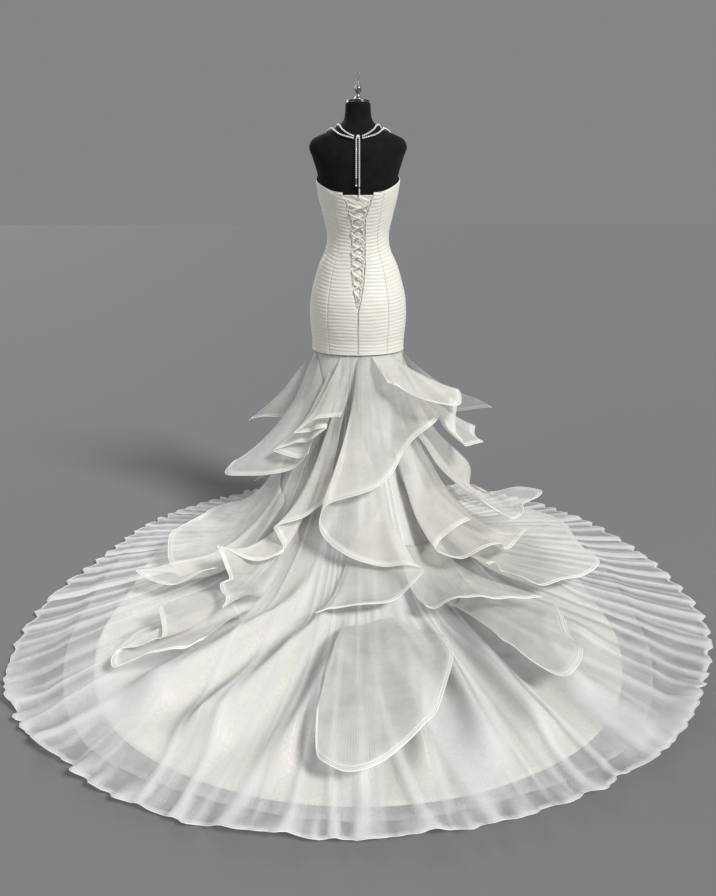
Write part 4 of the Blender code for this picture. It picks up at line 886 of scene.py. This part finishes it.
def add_skirt(finishes):
    """Satin skirt and the two nets over it, each lying on the one below."""
    heights = {}
    for name, node, column, count, rows, bell_rows in (("satin_underskirt", "satin_skirt", "satin", 360, 80, 46),
                                                       ("net_inner", "tulle_under", "under", 360, 80, 46),
                                                       ("net_outer", "tulle_over", "over", 520, 90, 40)):
        columns = even_columns(column, count)
        fall, hem = layer_falls(column, columns, rows, bell_rows)
        satin_hem = 1 + hem_radius("satin", columns) - hem_radius("bell", columns)
        under_hem = 1 + hem_radius("under", columns) - hem_radius("bell", columns)
        drape = ridge_height(columns, fall) * (1 - ease(-0.16, 0.0, fall - satin_hem))
        folds = 0.003 * gather_lines(columns, fall) * ease(0.0, 0.12, fall) * (1 - ease(0.85, 1.05, fall))
        to_hem = hem - fall
        dense = np.zeros(fall.shape)
        swing = np.zeros(fall.shape)
        if column == "satin":
            rest, wall = 0.0004 + 0 * fall, SATIN_WALL
        elif column == "under":
            rest, wall = (SATIN_WALL + LAYER_GAP) * (1 - ease(0.0, 0.05, fall - satin_hem)) + 0.0004, NET_WALL
            wave = 0.5 + 0.5 * np.sin(2 * np.pi * (columns / 5.0 + 0.4 * uneven(columns / 9.0)))
            rest = rest + folds + 0.004 * wave * ease(0.06, 0.0, to_hem) * ease(0.0, 0.03, fall - satin_hem)
            dense = 0.5 * gather_lines(columns + 1.3, fall) + 0.5 * ease(0.008, 0.0, to_hem)
        else:
            wall = NET_WALL
            rest = (SATIN_WALL + 2 * LAYER_GAP + NET_WALL) * (1 - ease(0.0, 0.04, fall - satin_hem))
            rest = rest + (NET_WALL + LAYER_GAP) * ease(0.0, 0.04, fall - satin_hem) * (
                1 - ease(0.0, 0.04, fall - under_hem)) + 0.0004 + 0.005 * (
                1 - ease(0.0, 0.05, fall - under_hem)) * ease(0.02, 0.10, fall) + folds
            lift, dense, swing = net_pleats(columns, to_hem, hem - 1 + 0.15)
            rest = rest + lift * ease(0.70, 1.0, fall)
            dense = np.maximum(dense * ease(0.75, 1.1, fall), 0.45 * gather_lines(columns, fall))
            dense = np.maximum(dense, ease(0.006, 0.0, to_hem))
        away = skirt_away(columns, fall)
        base = skirt(columns, fall + swing)
        outer = base + away * (rest + drape + wall)[..., None]
        inner = base + away * (rest + drape)[..., None]
        finish = {"satin": "skirt_satin", "under": "net_under", "over": "net_over"}[column]
        slot = "skirt_satin" if column == "satin" else "tulle"
        layer = add_wall(name, outer, inner, finishes[finish], slot, True, gather=dense)
        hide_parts(node)
        radius = hem_radius(column, columns)
        heights[column] = (columns, fall, rest + drape + wall)
        if column == "over":
            edge = outer[:, -1]
            ring = np.concatenate([edge, edge[:1]])
            up = np.tile([0.0, 0.0, 1.0], (len(ring), 1))
            add_tubes("net_rolled_hem", [(ring + up * 0.0002, 0.0007, up)], finishes["piping_satin"], "tulle")
    return heights["over"]


class LaidCloth:
    """Highest lift of the cloth already laid on the skirt, on a grid of azimuth and fall."""

    def __init__(self, azimuth, fall, lift):
        self.azimuth_step, self.fall_step = 1.0, 0.0125
        shape = (360, 150)
        self.grid = np.zeros(shape)
        self.lay(np.broadcast_to(azimuth, fall.shape).ravel(), fall.ravel(), lift.ravel(), 2, 2)

    def read(self, azimuth, fall):
        x = (np.asarray(azimuth, float) % 360) / self.azimuth_step
        y = np.clip(np.asarray(fall, float) / self.fall_step, 0, 148.999)
        i, j = x.astype(int), y.astype(int)
        u, v = x - i, y - j
        i, k = i % 360, (i + 1) % 360
        return ((self.grid[i, j] * (1 - u) + self.grid[k, j] * u) * (1 - v)
                + (self.grid[i, j + 1] * (1 - u) + self.grid[k, j + 1] * u) * v)

    def lay(self, azimuth, fall, lift, widen=4, blur=6):
        """Marks the lifts on the grid, widens them by a few cells, and blurs them before they are kept."""
        top = np.zeros(self.grid.shape)
        i = np.round((azimuth % 360) / self.azimuth_step).astype(int) % 360
        j = np.clip(np.round(fall / self.fall_step).astype(int), 0, 149)
        np.maximum.at(top, (i, j), lift)
        seam = top[:, :6].copy()
        for _ in range(widen):
            top = spread(top, np.maximum)
        for _ in range(blur):
            top = spread(top, lambda a, b: (a + b) / 2)
        top[:, :6] = seam + (top[:, :6] - seam) * np.arange(6) / 6
        self.grid = np.maximum(top, self.grid)


def spread(grid, mix):
    """One step of a maximum or mean filter over the neighbours."""
    for shift in (1, -1):
        grid = mix(grid, np.roll(grid, shift, axis=0))
    padded = np.pad(grid, ((0, 0), (1, 1)), mode="edge")
    return mix(mix(grid, padded[:, :-2]), padded[:, 2:])


def fold_lines(table, split):
    """The table's columns, read at split points between each two folds, with a slope of nothing where a column
    turns back, so the sewn line and the hem turn back at the same fold."""
    steps = np.linspace(0, len(table) - 1, (len(table) - 1) * split + 1)
    cell = np.minimum(steps.astype(int), len(table) - 2)
    t = steps - cell
    lines = []
    for column in np.array(table, float).T:
        rise = np.diff(column)
        inner = np.where(rise[1:] * rise[:-1] > 0, (rise[1:] + rise[:-1]) / 2, 0)
        slope = np.concatenate([rise[:1], np.sign(inner) * np.minimum(
            abs(inner), 2 * np.minimum(abs(rise[1:]), abs(rise[:-1]))), rise[-1:]])
        lines.append((1 + 2 * t) * (1 - t) ** 2 * column[cell] + t * (1 - t) ** 2 * slope[cell]
                     + t * t * (3 - 2 * t) * column[cell + 1] + t * t * (t - 1) * slope[cell + 1])
    return lines


def tier_lines(tier, split):
    """The same five lines for a plain tier with even waves."""
    count = tier.waves * 2 * split
    azimuth = np.linspace(tier.start, tier.end, count + 1)
    wave = np.cos(np.linspace(0, 2 * np.pi * tier.waves, count + 1))
    hem = tier.hem_fall * (1 + 0.05 * wave)
    return azimuth, np.full(count + 1, tier.attach_fall), azimuth, hem, tier.lift * (0.75 + 0.25 * wave)


def flounce_surface(lines, laid, rows):
    """Azimuth, fall and lift of each point between the sewn line and the hem. The lift grows to the fold's own
    lift at the hem, and stays above the cloth already laid."""
    attach_azimuth, attach_fall, hem_azimuth, hem_fall, lift = (np.asarray(line)[:, None] for line in lines)
    attach_fall = np.maximum(attach_fall, SEAM_FALL)
    down = np.linspace(0, 1, rows + 1)[None, :]
    azimuth = attach_azimuth + (hem_azimuth - attach_azimuth) * down
    fall = attach_fall + (hem_fall - attach_fall) * down
    own = lift * down ** 1.3
    order = np.linspace(FOLD_GAP, 0, len(azimuth))[:, None]
    gap = 0.0008 + (FLOUNCE_GAP + order) * np.clip(down / 0.3, 0, 1)
    over = laid.read(azimuth, fall) + gap + 0.5 * own
    return azimuth, fall, 0.5 * (over + own + np.sqrt((over - own) ** 2 + 0.001 ** 2)), down


def add_flounces(finishes, skirt_top):
    """Organza flounces, laid from the floor up, each over those already laid, with a piped hem and a second
    line of piping where the hem's band is stitched."""
    laid = LaidCloth(*skirt_top)
    for name in LAYING_ORDER:
        if name in TIERS:
            lines = tier_lines(TIERS[name], 3 * FOLD_COLUMNS // 2)
        else:
            lines = fold_lines(FLOUNCES[name], FOLD_COLUMNS)
        azimuth, fall, lift, down = flounce_surface(lines, laid, FLOUNCE_ROWS)
        column = np.arange(len(azimuth))[:, None]
        crimp = 0.0055 * uneven(column / 4.0, down * 2.0, len(name)) * down
        laid.lay(azimuth.ravel(), fall.ravel(), (lift + ORGANZA_WALL + 0.002).ravel())
        middle = soften(skirt_out(azimuth, fall, lift + 0.0035 * down ** 1.5 + crimp), 4)
        normal = grid_normals(middle)
        half_wall = ORGANZA_WALL / 2
        lengths = np.linalg.norm(np.diff(middle, axis=1), axis=-1)
        to_hem = np.concatenate([np.cumsum(lengths[:, ::-1], 1)[:, ::-1], np.zeros((len(middle), 1))], 1)
        hem = 1 - ease(HEM_BAND * 0.9, HEM_BAND * 1.6, to_hem)
        piece = add_wall(f"organza_{name}", middle + normal * half_wall, middle - normal * half_wall,
                         finishes["organza"], "organza", hem=hem)
        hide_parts(f"flounce_{name}")
        edge = middle[:, -1]
        share = np.clip(HEM_BAND / np.maximum(lengths[:, -3:].sum(1), 1e-4), 0, 1)[:, None]
        stitched = edge + (middle[:, -4] - edge) * share + normal[:, -2] * (half_wall + 0.0003)
        piping = add_tubes(f"piping_{name}", [(edge, PIPING_RADIUS, normal[:, -1]),
                                              (stitched, STITCH_RADIUS, normal[:, -2])],
                           finishes["piping_satin"], "organza")


def set_stage():
    """Camera at the photograph's angle, pale grey floor and soft lamps."""
    camera = bpy.data.objects.new("camera", bpy.data.cameras.new("camera"))
    camera.data.lens = 28.125
    camera.data.sensor_width = 36.0
    camera.location = (0.0, -2.6, 1.306)
    camera.rotation_euler = (np.radians(70.0), 0.0, 0.0)
    bpy.context.scene.collection.objects.link(camera)
    bpy.context.scene.camera = camera

    mesh = bpy.data.meshes.new("floor")
    mesh.from_pydata([(-30, -30, 0), (30, -30, 0), (30, 30, 0), (-30, 30, 0)], [], [(0, 1, 2, 3)])
    floor = bpy.data.objects.new("floor", mesh)
    paint = Nodes("floor_paint", (0.20, 0.20, 0.207), 0.85, Specular_IOR_Level=0.1)
    mesh.materials.append(paint.material)
    bpy.context.scene.collection.objects.link(floor)

    world = bpy.data.worlds.new("studio")
    world.use_nodes = True
    world.node_tree.nodes["Background"].inputs["Color"].default_value = (0.96, 0.98, 1.0, 1.0)
    world.node_tree.nodes["Background"].inputs["Strength"].default_value = 0.24
    bpy.context.scene.world = world
    bpy.context.scene.view_settings.view_transform = "Standard"
    # Each lamp: where it stands, where it points, how wide its light is in degrees, its strength
    for name, place, aim, spread_angle, strength in (("key", (2.6, -2.4, 3.4), (0, -0.4, 0.4), 16, 3.00),
                                                     ("fill", (-3.4, -2.2, 2.2), (0, -0.4, 0.5), 40, 0.55),
                                                     ("rim", (-1.8, 3.0, 2.6), (0, 0.0, 0.7), 30, 0.90)):
        lamp = bpy.data.objects.new(name, bpy.data.lights.new(name, "SUN"))
        lamp.data.angle = np.radians(spread_angle)
        lamp.data.energy = strength
        away = np.subtract(place, aim)
        lamp.location = place
        lamp.rotation_euler = (np.arctan2(np.hypot(away[0], away[1]), away[2]), 0.0, np.arctan2(away[0], -away[1]))
        bpy.context.scene.collection.objects.link(lamp)


def main():
    set_stage()
    finishes = make_finishes()
    add_form(finishes)
    add_bodice(finishes)
    add_lacing(finishes)
    add_pearls(finishes)
    skirt_top = add_skirt(finishes)
    add_flounces(finishes, skirt_top)


main()
